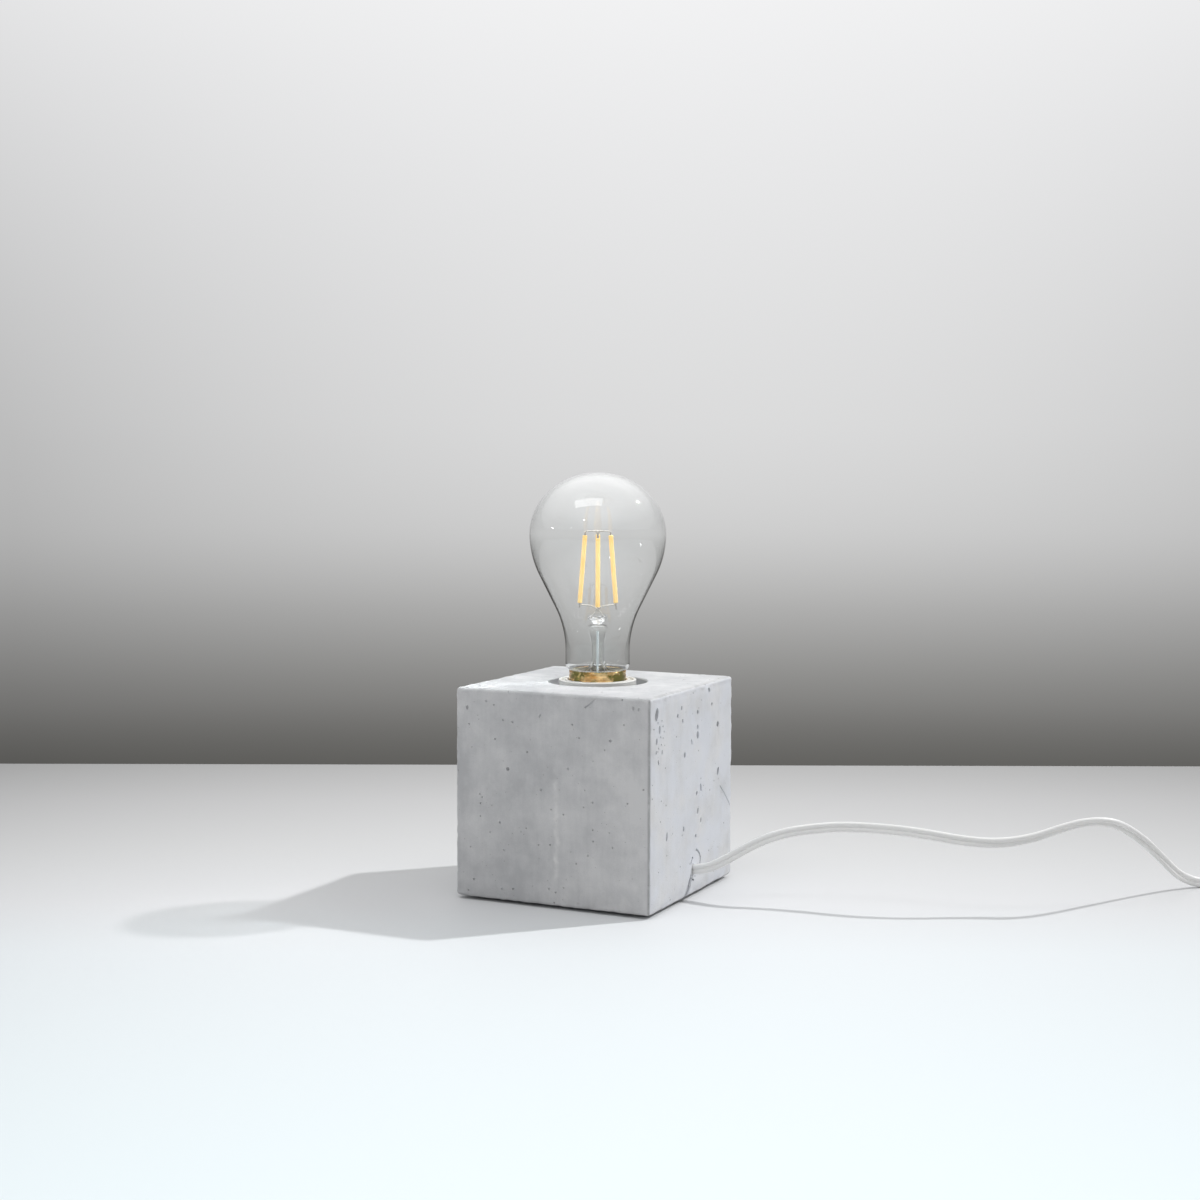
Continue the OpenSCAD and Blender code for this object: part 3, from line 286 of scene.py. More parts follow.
def finish_with(piece, kind, **settings):
    """A modifier is added and applied at once."""
    hold(piece)
    modifier = piece.modifiers.new(kind.lower(), kind)
    for key, value in settings.items():
        setattr(modifier, key, value)
    bpy.ops.object.modifier_apply(modifier=modifier.name)
    return piece


def soften(piece, width, segments, degrees, clamp=False):
    """Every edge sharper than an angle gets a bevel of a width in mm."""
    return finish_with(piece, "BEVEL", width=width * MM, segments=segments, use_clamp_overlap=clamp,
                       limit_method="ANGLE", angle_limit=math.radians(degrees))


def joined(name, pieces):
    """Several pieces become one."""
    hold(*pieces)
    if len(pieces) > 1:
        bpy.ops.object.join()
    pieces[0].name = name
    return pieces[0]


def cut_away(piece, cutter, operation="DIFFERENCE"):
    """The cutter is taken out of the piece, or made part of it, and then thrown away."""
    finish_with(piece, "BOOLEAN", operation=operation, solver="EXACT", object=cutter)
    bpy.data.objects.remove(cutter)
    return piece


def box(name, low, high):
    """A box between two corners in mm."""
    hold()
    bpy.ops.mesh.primitive_cube_add(size=1, location=[(a + b) / 2 * MM for a, b in zip(low, high)])
    bpy.context.object.scale = [(b - a) * MM for a, b in zip(low, high)]
    return keep_place(bpy.context.object, name)


# %% [markdown]
# ## Tubes
#
# The cord, its cores and the bulb's wires are tubes: rings of an outline, set square to a
# route. A curve with a round bevel can't show the cord's groove, so the rings are laid
# one by one, each turned by the roll that the cord has there.

# %% Tubes along a route
def round_outline(radius, points=12):
    return [(radius * math.cos(math.tau * i / points), radius * math.sin(math.tau * i / points))
            for i in range(points)]


def smooth_route(points, step, least_z=-1e9):
    """A Catmull-Rom curve through points of [x, y, z, ...], with about one point a step."""
    first = [2 * a - b for a, b in zip(points[0], points[1])]
    last = [2 * a - b for a, b in zip(points[-1], points[-2])]
    p = [first, *points, last]
    route = []
    for i in range(1, len(p) - 2):
        count = max(1, round(math.dist(p[i][:3], p[i + 1][:3]) / step))
        for k in range(count):
            t = k / count
            route.append([
                0.5 * (2 * b + (c - a) * t + (2 * a - 5 * b + 4 * c - d) * t * t
                       + (3 * b - a - 3 * c + d) * t ** 3)
                for a, b, c, d in zip(p[i - 1], p[i], p[i + 1], p[i + 2])])
    route.append(list(points[-1]))
    for q in route:
        q[2] = max(q[2], least_z)
    return route


def in_metres(route):
    return [Vector(q[:3]) * MM for q in route]


def length_of(centres):
    return sum((b - a).length for a, b in zip(centres, centres[1:]))


def tube(name, route, outline):
    """A closed tube along a route of [x, y, z] or [x, y, z, roll], in mm and degrees."""
    centres = in_metres(route)
    verts, faces = [], []
    last, n = len(centres) - 1, len(outline)
    for i, centre in enumerate(centres):
        along = (centres[min(i + 1, last)] - centres[max(i - 1, 0)]).normalized()
        across = Vector((1, 0, 0)) if abs(along.z) > 0.9 else Vector((0, 0, 1))
        side = along.cross(across).normalized()
        up = side.cross(along)
        roll = math.radians(route[i][3]) if len(route[i]) > 3 else 0
        broad = up * math.cos(roll) + side * math.sin(roll)
        thin = side * math.cos(roll) - up * math.sin(roll)
        verts += [centre + (broad * u + thin * v) * MM for u, v in outline]
    for i in range(last):
        for j in range(n):
            k = (j + 1) % n
            faces.append((i * n + j, i * n + k, (i + 1) * n + k, (i + 1) * n + j))
    faces += [tuple(range(n))[::-1], tuple(range(last * n, last * n + n))]
    mesh = bpy.data.meshes.new(name)
    mesh.from_pydata(verts, [], faces)
    return smooth(face_outwards(placed(name, mesh)), 50)


def bar(name, start, end, outline):
    """A straight closed bar of an outline between two points in mm."""
    return tube(name, [start, end], outline)


# %% [markdown]
# ## How a finish is written
#
# Every finish is a small tree of nodes. A sum such as `0.3 + 0.2 * speckle` reads better
# than a drawing of Math nodes, so a wrapped socket takes Python's operators and adds those
# nodes itself. All other nodes come from one method: type, settings, and socket values.

# %% Signals and recipes
class Signal:
    """A node's output that can be used in sums."""

    def __init__(self, recipe, socket):
        self.recipe, self.socket = recipe, socket

    def maths(self, operation, *values):
        return self.recipe.node("Math", {"operation": operation}, dict(enumerate(values)))

    def __add__(self, other):
        return self.maths("ADD", self, other)

    def __sub__(self, other):
        return self.maths("SUBTRACT", self, other)

    def __rsub__(self, other):
        return self.maths("SUBTRACT", other, self)

    def __mul__(self, other):
        return self.maths("MULTIPLY", self, other)

    def __abs__(self):
        return self.maths("ABSOLUTE", self)

    def least(self, other):
        return self.maths("MINIMUM", self, other)

    def most(self, other):
        return self.maths("MAXIMUM", self, other)

    __radd__, __rmul__ = __add__, __mul__


class Recipe:
    """The nodes of one material, or of the world."""

    def __init__(self, owner):
        owner.use_nodes = True
        self.tree = owner.node_tree
        self.tree.nodes.clear()

    def node(self, kind, settings=None, inputs=None, output=0):
        made = self.tree.nodes.new("ShaderNode" + kind)
        for key, value in (settings or {}).items():
            if key == "blend":
                made.color_ramp.interpolation = value
            elif key == "stops":
                ramp = made.color_ramp
                while len(ramp.elements) < len(value):
                    ramp.elements.new(1)
                for element, (place, colour) in zip(ramp.elements, value):
                    element.position = place
                    element.color = (*colour, 1)
            else:
                setattr(made, key, value)
        for key, value in (inputs or {}).items():
            if isinstance(value, Signal):
                self.tree.links.new(value.socket, made.inputs[key])
            else:
                made.inputs[key].default_value = value
        return Signal(self, made.outputs[output]) if made.outputs else made

    def place(self):
        """The object's own coordinates, in metres."""
        return self.node("TexCoord", output=3)

    def seen(self):
        """1 for rays that the camera, a mirror or glass sees, 0 for those that only light."""
        rays = [self.node("LightPath", output="Is " + kind + " Ray")
                for kind in ("Camera", "Glossy", "Transmission")]
        return rays[0].most(rays[1]).most(rays[2])

    def axis(self, index, vector=None):
        return self.node("SeparateXYZ", None, {0: vector or self.place()}, index)

    def noise(self, size, detail=3.0, roughness=0.55, stretch=(1, 1, 1), shift=0.0):
        """Cloudy noise from 0 to 1, with lumps of a size in mm; stretch draws them out."""
        mapped = self.node("Mapping", None, {
            0: self.place(), 1: (shift, shift, shift), 3: tuple(1 / s for s in stretch)})
        return self.node("TexNoise", None, {
            "Vector": mapped, "Scale": 1 / (size * MM), "Detail": detail,
            "Roughness": roughness})

    def dots(self, spacing, radius, shift=0.0):
        """Round dots, 1 inside and 0 outside, at random places a spacing in mm apart."""
        mapped = self.node("Mapping", None, {0: self.place(), 1: (shift, shift, shift)})
        far = self.node("TexVoronoi", None, {"Vector": mapped, "Scale": 1 / (spacing * MM)})
        return self.ramp(far, radius, radius * 0.6)

    def ramp(self, value, low, high):
        """0 at low and 1 at high, straight between and level outside."""
        return self.node("MapRange", {"clamp": True}, {0: value, 1: low, 2: high})

    def mix(self, share, first, second):
        """Colour first where share is 0, second where it is 1."""
        rgba = [c if isinstance(c, Signal) else (*c, 1) for c in (first, second)]
        return self.node("Mix", {"data_type": "RGBA"}, {0: share, 6: rgba[0], 7: rgba[1]}, 2)

    def bump(self, height, depth):
        """A normal from a height of 0 to 1 and a depth in mm."""
        return self.node("Bump", None, {"Strength": 1.0, "Distance": depth * MM,
                                        "Height": height})

    def principled(self, inputs):
        return self.node("BsdfPrincipled", None, inputs)

    def output(self, shader, kind="OutputMaterial"):
        self.node(kind, None, {"Surface": shader})


FINISHES = {}


def finish(name, recipe_for):
    """A material on one Principled shader, whose inputs come from recipe_for(recipe)."""
    FINISHES[name] = bpy.data.materials.new(name)
    recipe = Recipe(FINISHES[name])
    recipe.output(recipe.principled(recipe_for(recipe)))


def dress(piece, name):
    """A piece takes one finish all over."""
    piece.data.materials.clear()
    piece.data.materials.append(FINISHES[name])
    return piece


def rider(piece, body, slot, *nodes, look=None):
    """A finished piece is dressed, rides on its body and stands for its CAD nodes."""
    dress(piece, look or slot)
    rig.ride(piece, body)
    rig.slot(piece, slot)
    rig.replaces(piece, *nodes)
    return piece


# %% [markdown]
# ## Wall, table and light
#
# A pale table ends in front of a wall that is grey just above it and pale higher up. The
# wall is the world's own background, as the camera, a mirror or glass sees it, so nothing
# stands behind the lamp when it is looked at from the back. What lights the lamp is plain
# even light and a sun from behind on the right. Two broad lamps overhead and two small
# ones in front are there for what the glass mirrors.

# %% World
world = bpy.data.worlds.new("studio")
bpy.context.scene.world = world
recipe = Recipe(world)
direction = recipe.node("TexCoord", output=0)
height = recipe.axis(2, direction)
BRIGHT_ASIDE = 0.06  # the brightest strip of wall and table, right of the lamp
across = recipe.node("VectorMath", {"operation": "DOT_PRODUCT"}, {0: direction, 1: right}, 1)
aside = across - BRIGHT_ASIDE
falling = recipe.node("MapRange", {"clamp": True}, {0: height, 1: 0.0, 2: 0.25, 3: 2.3, 4: 0.7})
wall = recipe.node("ValToRGB", {"blend": "B_SPLINE", "stops": [
    (0.000, (0.105, 0.103, 0.096)), (0.030, (0.215, 0.212, 0.204)),
    (0.070, (0.430, 0.428, 0.424)), (0.105, (0.640, 0.640, 0.640)),
    (0.150, (0.705, 0.706, 0.708)), (0.240, (0.785, 0.786, 0.792)),
    (0.330, (0.880, 0.882, 0.892)), (0.600, (1.0, 1.0, 1.0))]},
    {0: recipe.ramp(height, -0.165, 1.0)})
# The wall is painted darker on both sides of its brightest strip, most near the table: painted falloff of light.
wall = recipe.mix((falling * aside * aside).least(0.28), wall, (0.0, 0.0, 0.0))
plain = recipe.node("Background", None, {0: (1.0, 1.0, 1.0, 1), 1: 0.15 + 0.58 * height.most(0.0)})
shown = recipe.node("Background", None, {0: wall, 1: 1.0 + 1.1 * recipe.ramp(height, 0.35, 0.80)})
recipe.output(recipe.node("MixShader", None, {0: recipe.seen(), 1: plain, 2: shown}), "OutputWorld")

# %% Table
EDGE_DISTANCE = 1.2755
TABLE_WIDE, TABLE_DEEP = 3.2, 1.70
edge_middle = Vector((CAMERA_PLACE.x, CAMERA_PLACE.y, 0)) + forward * EDGE_DISTANCE


def table_recipe(r):
    dx, dy = r.axis(0) - edge_middle.x, r.axis(1) - edge_middle.y
    distance = dx * -forward.x + dy * -forward.y
    aside = dx * right.x + dy * right.y - BRIGHT_ASIDE
    # The table is painted darker towards its back edge and on both sides of the brightest strip: painted falloff of
    # light.
    colour = r.node("ValToRGB", {"stops": [
        (0.00, (0.42, 0.42, 0.42)), (0.17, (0.55, 0.55, 0.555)), (0.36, (0.665, 0.67, 0.675)),
        (0.52, (0.755, 0.765, 0.78)), (0.64, (0.80, 0.84, 0.865)),
        (1.00, (0.83, 0.91, 0.94))]}, {0: r.ramp(distance, 0.0, 0.75)})
    colour = r.mix((1.6 * aside * aside).least(0.4), colour, (0.0, 0.0, 0.0))
    return {"Base Color": r.mix(r.seen(), (0.58, 0.58, 0.58), colour), "Roughness": 0.6,
            "Specular IOR Level": 0.2}


hold()
bpy.ops.mesh.primitive_plane_add(size=1, location=edge_middle - forward * TABLE_DEEP / 2,
                                 rotation=(0, 0, math.radians(CAMERA_YAW)))
bpy.context.object.scale = (TABLE_WIDE, TABLE_DEEP, 1)
finish("table_top", table_recipe)
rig.stage(dress(keep_place(bpy.context.object, "table"), "table_top"))

# %% Lamps
BULB_MIDDLE, LAMP_FAR = Vector((0, 0, 0.17)), 1.2
key = placed("key", bpy.data.lights.new("key", "SUN"))
key.data.energy, key.data.angle = 1.83, math.radians(2.0)
key.rotation_euler = Vector((0.725, 0.765, 1.0)).to_track_quat("Z", "Y").to_euler()


def softbox(name, wide, deep, energy, direction):
    """A lamp with a rectangular face, away from the bulb in a direction and facing it."""
    lamp = placed(name, bpy.data.lights.new(name, "AREA"))
    lamp.data.shape = "RECTANGLE"
    lamp.data.size, lamp.data.size_y, lamp.data.energy = wide, deep, energy
    away = Vector(direction).normalized()
    lamp.location = BULB_MIDDLE + away * LAMP_FAR
    lamp.rotation_euler = (away.to_track_quat("Z", "Y").to_matrix() @ turn_z(CAMERA_YAW)).to_euler()


softbox("softbox", 0.80, 0.36, 2.2, (-0.057, -0.385, 0.922))
softbox("soft_halo", 1.10, 0.60, 0.5, (-0.04, -0.26, 0.95))
softbox("spark_high", 0.06, 0.06, 0.30, (0, -0.874, 0.522))
softbox("spark_left", 0.06, 0.06, 0.30, (-0.833, -0.527, 0.170))

# %% [markdown]
# ## Plain finishes
#
# Moulded plastic, plated steel and bare brass look even from afar, but never are: the
# colour drifts a little, and the gloss has dull and bright patches from handling. One
# recipe with its own numbers serves them all, since only colour, gloss and grain differ.

# %% Plastics, metals and rubber
def even_finish(name, colour, gloss, metal, drift, grain, depth, **more):
    """A smooth surface: colour drift, patchy gloss and a grain in mm with a depth in mm."""
    def recipe_for(r):
        cloud = r.noise(grain * 9, 3)
        fine = r.noise(grain, 2)
        dark = tuple(c * (1 - drift) for c in colour)
        pale = tuple(min(1, c * (1 + drift / 2)) for c in colour)
        return {"Base Color": r.mix(cloud, dark, pale), "Metallic": metal,
                "Roughness": gloss + 0.12 * (fine - 0.5) + 0.08 * (cloud - 0.5),
                "Normal": r.bump(fine, depth), **more}
    finish(name, recipe_for)


for row in (  # name, colour, gloss, metal, drift, grain, depth
        ("rubber", (0.013, 0.013, 0.014), 0.78, 0, 0.2, 0.6, 0.02),
        ("cover_plate", (0.022, 0.022, 0.023), 0.42, 0, 0.15, 0.5, 0.03),
        ("steel", (0.60, 0.61, 0.63), 0.30, 1, 0.12, 0.5, 0.02),
        ("brass", (0.74, 0.52, 0.22), 0.27, 1, 0.14, 0.6, 0.02),
        ("nickel", (0.62, 0.60, 0.56), 0.24, 1, 0.12, 0.4, 0.02),
        ("holder_white", (0.86, 0.86, 0.84), 0.30, 0, 0.03, 0.9, 0.02),
        ("switch_white", (0.84, 0.84, 0.82), 0.34, 0, 0.03, 0.7, 0.03),
        ("nylon", (0.70, 0.70, 0.65), 0.48, 0, 0.05, 1.0, 0.02),
        ("live_core", (0.107, 0.040, 0.015), 0.42, 0, 0.15, 0.8, 0.02),
        ("neutral_core", (0.022, 0.085, 0.345), 0.42, 0, 0.15, 0.8, 0.02),
        ("ceramic", (0.78, 0.75, 0.68), 0.62, 0, 0.08, 0.5, 0.04),
        ("cement", (0.68, 0.63, 0.52), 0.85, 0, 0.18, 0.4, 0.08),
        ("black_plastic", (0.009, 0.009, 0.010), 0.45, 0, 0.2, 0.6, 0.02),
        ("circuit_board", (0.022, 0.133, 0.055), 0.35, 0, 0.25, 0.5, 0.02)):
    even_finish(*row)
even_finish("cord_sheath", (0.94, 0.945, 0.94), 0.36, 0, 0.03, 1.6, 0.015, **{
    "Subsurface Weight": 0.3, "Subsurface Scale": 0.002, "Subsurface Radius": (1.0, 1.0, 0.97)})
print(len(FINISHES), "finishes")

# %% [markdown]
# ## Finishes with a character of their own
#
# The gold cap is thin plated brass that mirrors its surroundings. Its matt patches are painted
# dark olive, a painted reflection of the dark surroundings, and they and fine turning marks break
# its shine. The sticks are coated in a yellow phosphor, with a faint glow painted on them though
# the bulb is off. The cord's band is a woven tape, shown by two crossed waves.

# %% Gold cap, phosphor and woven band
def cap_recipe(r):
    patches = r.noise(5.5, 3, 0.6)
    turning = r.noise(0.5, 2, stretch=(40, 40, 1))
    tarnish = r.ramp(r.noise(4, 3, shift=0.2), 0.4, 0.62)
    warm = r.mix(tarnish, (0.90, 0.66, 0.34), (0.55, 0.29, 0.09))
    # Matt patches, rougher and painted dark olive: a painted reflection of the dark surroundings that the cap mirrors.
    dull_and_dark_reflection = r.ramp(patches, 0.42, 0.56)
    return {"Base Color": r.mix(dull_and_dark_reflection, warm, (0.19, 0.17, 0.055)), "Metallic": 1.0,
            "Roughness": 0.14 + 0.14 * dull_and_dark_reflection + 0.05 * turning, "Normal": r.bump(turning, 0.03)}


def phosphor_recipe(r):
    lumps = r.noise(0.7, 3, 0.6)
    cloud = r.noise(7, 2)
    yellow = r.mix(cloud, (0.96, 0.60, 0.16), (0.98, 0.76, 0.36))
    return {"Base Color": yellow, "Roughness": 0.5 + 0.2 * lumps,
            # A faint glow is painted on the sticks: they give off light though the bulb is off.
            "Emission Color": yellow, "Emission Strength": 0.22,
            "Normal": r.bump(lumps, 0.08)}


def band_recipe(r):
    across, along = (r.node("SeparateColor", None, {0: r.node(
        "TexWave", {"bands_direction": axis}, {0: r.place(), 1: 420.0, 2: 0.6})}) for axis in "ZY")
    weave = across * along
    return {"Base Color": r.mix(weave, (0.60, 0.60, 0.58), (0.80, 0.80, 0.77)),
            "Roughness": 0.72 + 0.15 * weave, "Normal": r.bump(weave, 0.12)}


finish("cap_gold", cap_recipe)
finish("phosphor", phosphor_recipe)
finish("tie_band", band_recipe)

# %% [markdown] ## Clear glass  Blown glass is clear, with a faint cool tint and a few
# smudges. The stem hardly bends light, which keeps its outline faint, and the thin tube
# in it is milky.

# %% Glass
def clear_glass(name, veil, bend, pale=(0.992, 0.998, 0.996), clear=1.0):
    """Clear glass with a veil for shadows, how much it bends light, its tint and clearness."""
    FINISHES[name] = bpy.data.materials.new(name)
    r = Recipe(FINISHES[name])
    smudge = r.ramp(r.noise(14, 3, 0.6), 0.52, 0.75)
    body = r.principled({
        "Base Color": r.mix(smudge, pale, tuple(0.985 * c for c in pale)),
        "Roughness": 0.03 * smudge, "IOR": bend, "Transmission Weight": clear})
    through = r.node("BsdfTransparent", None, {0: (*veil, 1)})
    shadow = r.node("LightPath", output="Is Shadow Ray")
    r.output(r.node("MixShader", None, {0: shadow, 1: body, 2: through}))


clear_glass("clear_glass", (0.83, 0.84, 0.84), 1.47)
clear_glass("stem_glass", (0.95, 0.95, 0.95), 1.04)
clear_glass("press_glass", (0.92, 0.93, 0.93), 1.50)
clear_glass("milky_glass", (0.90, 0.92, 0.93), 1.45, (0.93, 0.98, 1.0), 0.5)

# %% [markdown]
# ## Concrete
#
# Cast concrete is an even grey with slow clouds, a speckle of sand and many air bubbles.
# The large bubbles are cut into the block's mesh; the pin-holes are too small and many for
# that, so dots dent the surface and darken it with painted shade. Its edges are paler where the
# skin is rubbed off, and near the top paler still, a painted highlight. Painted shade darkens all
# that is sunk into the block and a thin line on the broad face beside the cord's face, and the
# grey is painted lighter towards the cord's face and darker towards the face opposite it,
# painted light and shade across the block. A pale run of lime goes down the middle of the broad face.

# %% Concrete finish
def concrete_recipe(r):
    x, y, z = (r.axis(i) for i in range(3))
    clouds = r.noise(26, 4, 0.55)
    patches = r.noise(7, 4, 0.6, shift=0.05)
    sand = r.noise(0.55, 3, 0.7)
    holes = r.dots(6.0, 0.085).most(r.dots(3.2, 0.07, 0.13))
    runs = r.noise(2.5, 3, 0.6, stretch=(1, 1, 9))
    # The 1.3 * x term paints the grey lighter towards +x, where the key light comes from, and darker towards -x:
    # painted light and shade across the block.
    tone = 0.5 * clouds + 0.25 * patches + 0.13 * sand + 0.12 * runs + 1.3 * x
    body = r.mix(r.ramp(tone, 0.38, 0.62), (0.555, 0.567, 0.586), (0.745, 0.753, 0.767))

    blue = r.ramp(x, 0.0488, 0.0493) * r.ramp(r.noise(16, 3, shift=0.3), 0.30, 0.62)
    body = r.mix(0.75 * blue, body, (0.735, 0.765, 0.825))
    out = [abs(x), abs(y), abs(z - 0.0505)]
    low, high = out[0].least(out[1]), out[0].most(out[1])
    second = low.most(high.least(out[2]))
    # Edges are paler where the skin is rubbed off, and near the top paler still: a painted highlight where the rounded
    # edges catch the light.
    wear_and_edge_highlight = r.ramp(second + 0.0016 * (patches - 0.5), 0.0478, 0.0495)
    body = r.mix(wear_and_edge_highlight * (0.12 + 0.5 * r.ramp(z, 0.090, 0.098)), body, (0.82, 0.825, 0.835))

    # A thin dark line on the broad face next to its edge with the cord's face: painted shade where the rounded edge
    # turns from the light.
    edge_shade_line = (r.ramp(x, 0.0480, 0.0488) * r.ramp(x, 0.0496, 0.0490)
             * r.ramp(y, -0.0480, -0.0488) * r.ramp(patches, 0.25, 0.5))
    body = r.mix(0.5 * edge_shade_line, body, (0.20, 0.205, 0.215))
    bend = r.noise(9, 3, stretch=(1e3, 1e3, 1)) - 0.5
    beside = abs(x - 0.0028 - 0.006 * bend) + 0.0012 * (r.noise(3, 3) - 0.5)
    run = (r.ramp(beside, 0.0018, 0.0003) * r.ramp(y, -0.0485, -0.0492)
           * r.ramp(abs(z - 0.038), 0.030, 0.020) * r.ramp(r.noise(7, 3, 0.6), 0.32, 0.60))
    body = r.mix(0.8 * run, body, (0.86, 0.865, 0.87))
    # Pin-holes too small to cut are darkened with painted shade.
    body = r.mix(0.5 * holes, body, (0.17, 0.175, 0.19))
    # All that is sunk more than about a millimetre below the cube's faces, pocket, bores, bubbles and cracks alike, is
    # darkened: painted shade in recesses.
    inside = r.ramp(high.most(out[2]), 0.0492, 0.0485)
    body = r.mix(0.45 * inside, body, (0.20, 0.205, 0.22))
    height = 0.45 * clouds + 0.25 * patches + 0.3 * sand - 0.9 * holes
    return {"Base Color": body, "Roughness": 0.80 + 0.14 * sand - 0.1 * run,
            "Specular IOR Level": 0.35, "Normal": r.bump(height, 0.35)}


finish("concrete", concrete_recipe)
finish_of = {part["node"]: part["material_slot"] for part in frame["record"]["subparts"]}
for name, node in frame["nodes"].items():
    dress(node, finish_of[name])
print(len(finish_of), "CAD nodes finished")

# %% [markdown]
# ## The flat twin cord
#
# Two insulated wires lie side by side in one soft white sheath, with a groove between
# them. It leaves the block standing on edge, rises in two humps and rolls over on the
# second. The route's points are the CAD model's, and a smooth curve runs through them.
# The switch is in the middle of the cord, and what the picture doesn't show is wound up
# in a coil beside it, with the plug at its end.

# %% Cord section
CORD_W, CORD_T = 4.8, 2.4
LOBE = CORD_T / 2
WEB = 0.45
web_turn = math.pi - math.asin(WEB / LOBE)
TWIN = [(side * (CORD_W / 2 - LOBE + LOBE * math.cos(a)), side * LOBE * math.sin(a))
        for side in (1, -1)
        for a in [web_turn - 2 * web_turn * i / 10 for i in range(11)]]


# %% Cord from the block to the switch
CORD_EXIT = (0.050, 0, 0.0134)
FACE_X, EXIT_Z = CORD_EXIT[0] / MM, CORD_EXIT[2] / MM
SWITCH_ROUTE = [
    (0, 0, 13.4, 0), (7, 1.7, 14.7, 0), (15.5, 5, 19, 0), (25, 8.5, 25, 0),
    (34, 11, 29.5, 0), (43.5, 13.5, 32.6, 0), (54, 17, 34.5, 0), (66, 20.5, 35.7, 0),
    (80, 22.5, 36, 0), (93.5, 23, 35.9, 0), (106.5, 24, 35, 0), (118.5, 26.5, 33.4, 0),
    (130, 31, 32.2, 5), (140.5, 37, 32.4, 15), (150.5, 43, 34.4, 25), (160, 49, 37.8, 35),
    (169.5, 54, 40.6, 38), (178, 60, 40.8, 38), (184.5, 69, 37.5, 35), (191, 85, 29, 25),
    (196.5, 100.5, 19, 12), (202.5, 115, 8.5, 3), (208, 123, 3.8, 0), (213, 127, 2.4, 0),
    (219, 131.4, 2.4, 0), (226.4, 134, 2.4, 0), (234.2, 134.7, 2.4, 0),
    (241.9, 133.2, 3, 0), (248.9, 129.9, 4.4, 0), (253.8, 125.9, 5.9, 0),
]
SWITCH_PLACE = (334.5, 95.2)
SWITCH_HEADING = -45
SWITCH_LEN, SWITCH_CORD_Z = 66, 7


def past(point, degrees, distance, z, roll=0):
    """A route point a distance on from another, along a heading on the table."""
    a = math.radians(degrees)
    return point[0] + distance * math.cos(a), point[1] + distance * math.sin(a), z, roll


switch_in = past(SWITCH_PLACE, SWITCH_HEADING, -SWITCH_LEN / 2, SWITCH_CORD_Z)
switch_out = past(SWITCH_PLACE, SWITCH_HEADING, SWITCH_LEN / 2, SWITCH_CORD_Z)
route = [(x + FACE_X, y, z, roll) for x, y, z, roll in SWITCH_ROUTE] + [switch_in]
route = smooth_route(route, 1.2, CORD_W / 2)
cord_front, front_path = tube("cord_front", route, TWIN), in_metres(route)
rider(cord_front, "root", "cord_sheath", "cord_to_switch")
print(f"cord to the switch: {length_of(front_path):.3f} m")

# %% Cord from the switch, round the coil, to the plug
COIL_R, COIL_TURNS, COIL_PITCH, COIL_LIFT = 20, 4.125, 2.9, 5.3
COIL_Z, COIL_START, COIL_LEAD, LEAD_LEN = 3.2, 45, 5, 30
TAIL_LEN, PLUG_Z = 25, 6.85
RINGS_PER_TURN = 48
coil_in = past(switch_out, SWITCH_HEADING, LEAD_LEN, COIL_Z)
coil_mid = past(coil_in, COIL_START, -(COIL_R + COIL_PITCH * COIL_TURNS), COIL_Z)


def coil_point(t):
    """The coil after t turns: in on the lower layer, up in half a turn, out on the upper."""
    climb = max(0, min(1, (t - COIL_TURNS + 0.25) / 0.5))
    return past(coil_mid, COIL_START - 360 * t, COIL_R + COIL_PITCH * abs(t - COIL_TURNS),
                COIL_Z + COIL_LIFT * climb * climb * (3 - 2 * climb))


TAIL_HEADING = COIL_START - 360 * 2 * COIL_TURNS - 90
coil_out = coil_point(2 * COIL_TURNS)
lead_end = past(coil_out, TAIL_HEADING, COIL_LEAD, coil_out[2])
relief_in = past(coil_out, TAIL_HEADING, TAIL_LEN, PLUG_Z)
drop, fall = SWITCH_CORD_Z - COIL_Z, lead_end[2] - PLUG_Z
rings = round(2 * COIL_TURNS * RINGS_PER_TURN)
route = [past(switch_out, SWITCH_HEADING, d, SWITCH_CORD_Z - drop * k)
         for d, k in ((0, 0), (7, 0.15), (15, 0.5), (23, 0.85), (25, 1))]
route += [coil_point(2 * COIL_TURNS * i / rings) for i in range(rings + 1)]
route += [past(lead_end, TAIL_HEADING, (TAIL_LEN - COIL_LEAD) * d, lead_end[2] - fall * k)
          for d, k in ((0, 0), (0.25, 0.12), (0.5, 0.5), (0.75, 0.88), (1, 1))]
route = smooth_route(route, 2.5)
cord_rear, rear_path = tube("cord_rear", route, TWIN), in_metres(route)
rider(cord_rear, "root", "cord_sheath", "cord_to_coil", "cord_coil", "cord_to_plug")
print(f"cord from the switch to the plug: {length_of(rear_path):.3f} m")

# %% [markdown]
# ## Turned and moved
#
# Half the lamp is turned on one axis. By hand you would draw the outline as a chain of
# corners, each extruded from the last, and spin it round once. Threads and a pinched
# tube aren't round, so there the spun corners are moved by a rule.

# %% Turning on the axis
def turned(name, outline, sides=96):
    """An outline of [radius, height] points in mm, spun once round the z axis."""
    hold()
    r0, z0 = outline[0]
    bpy.ops.mesh.primitive_plane_add(size=MM, location=(r0 * MM, 0, z0 * MM))
    piece = keep_place(bpy.context.object, name)
    pick(piece, "VERT")
    bpy.ops.mesh.merge(type="CENTER")
    for (ra, za), (rb, zb) in zip(outline, outline[1:]):
        bpy.ops.mesh.extrude_region_move(
            TRANSFORM_OT_translate={"value": ((rb - ra) * MM, 0, (zb - za) * MM)})
    bpy.ops.mesh.select_all(action="SELECT")
    bpy.ops.mesh.spin(steps=sides, angle=math.tau, center=(0, 0, 0), axis=(0, 0, 1))
    return smooth(face_outwards(piece))


def closed(outline):
    return [*outline, outline[0]]


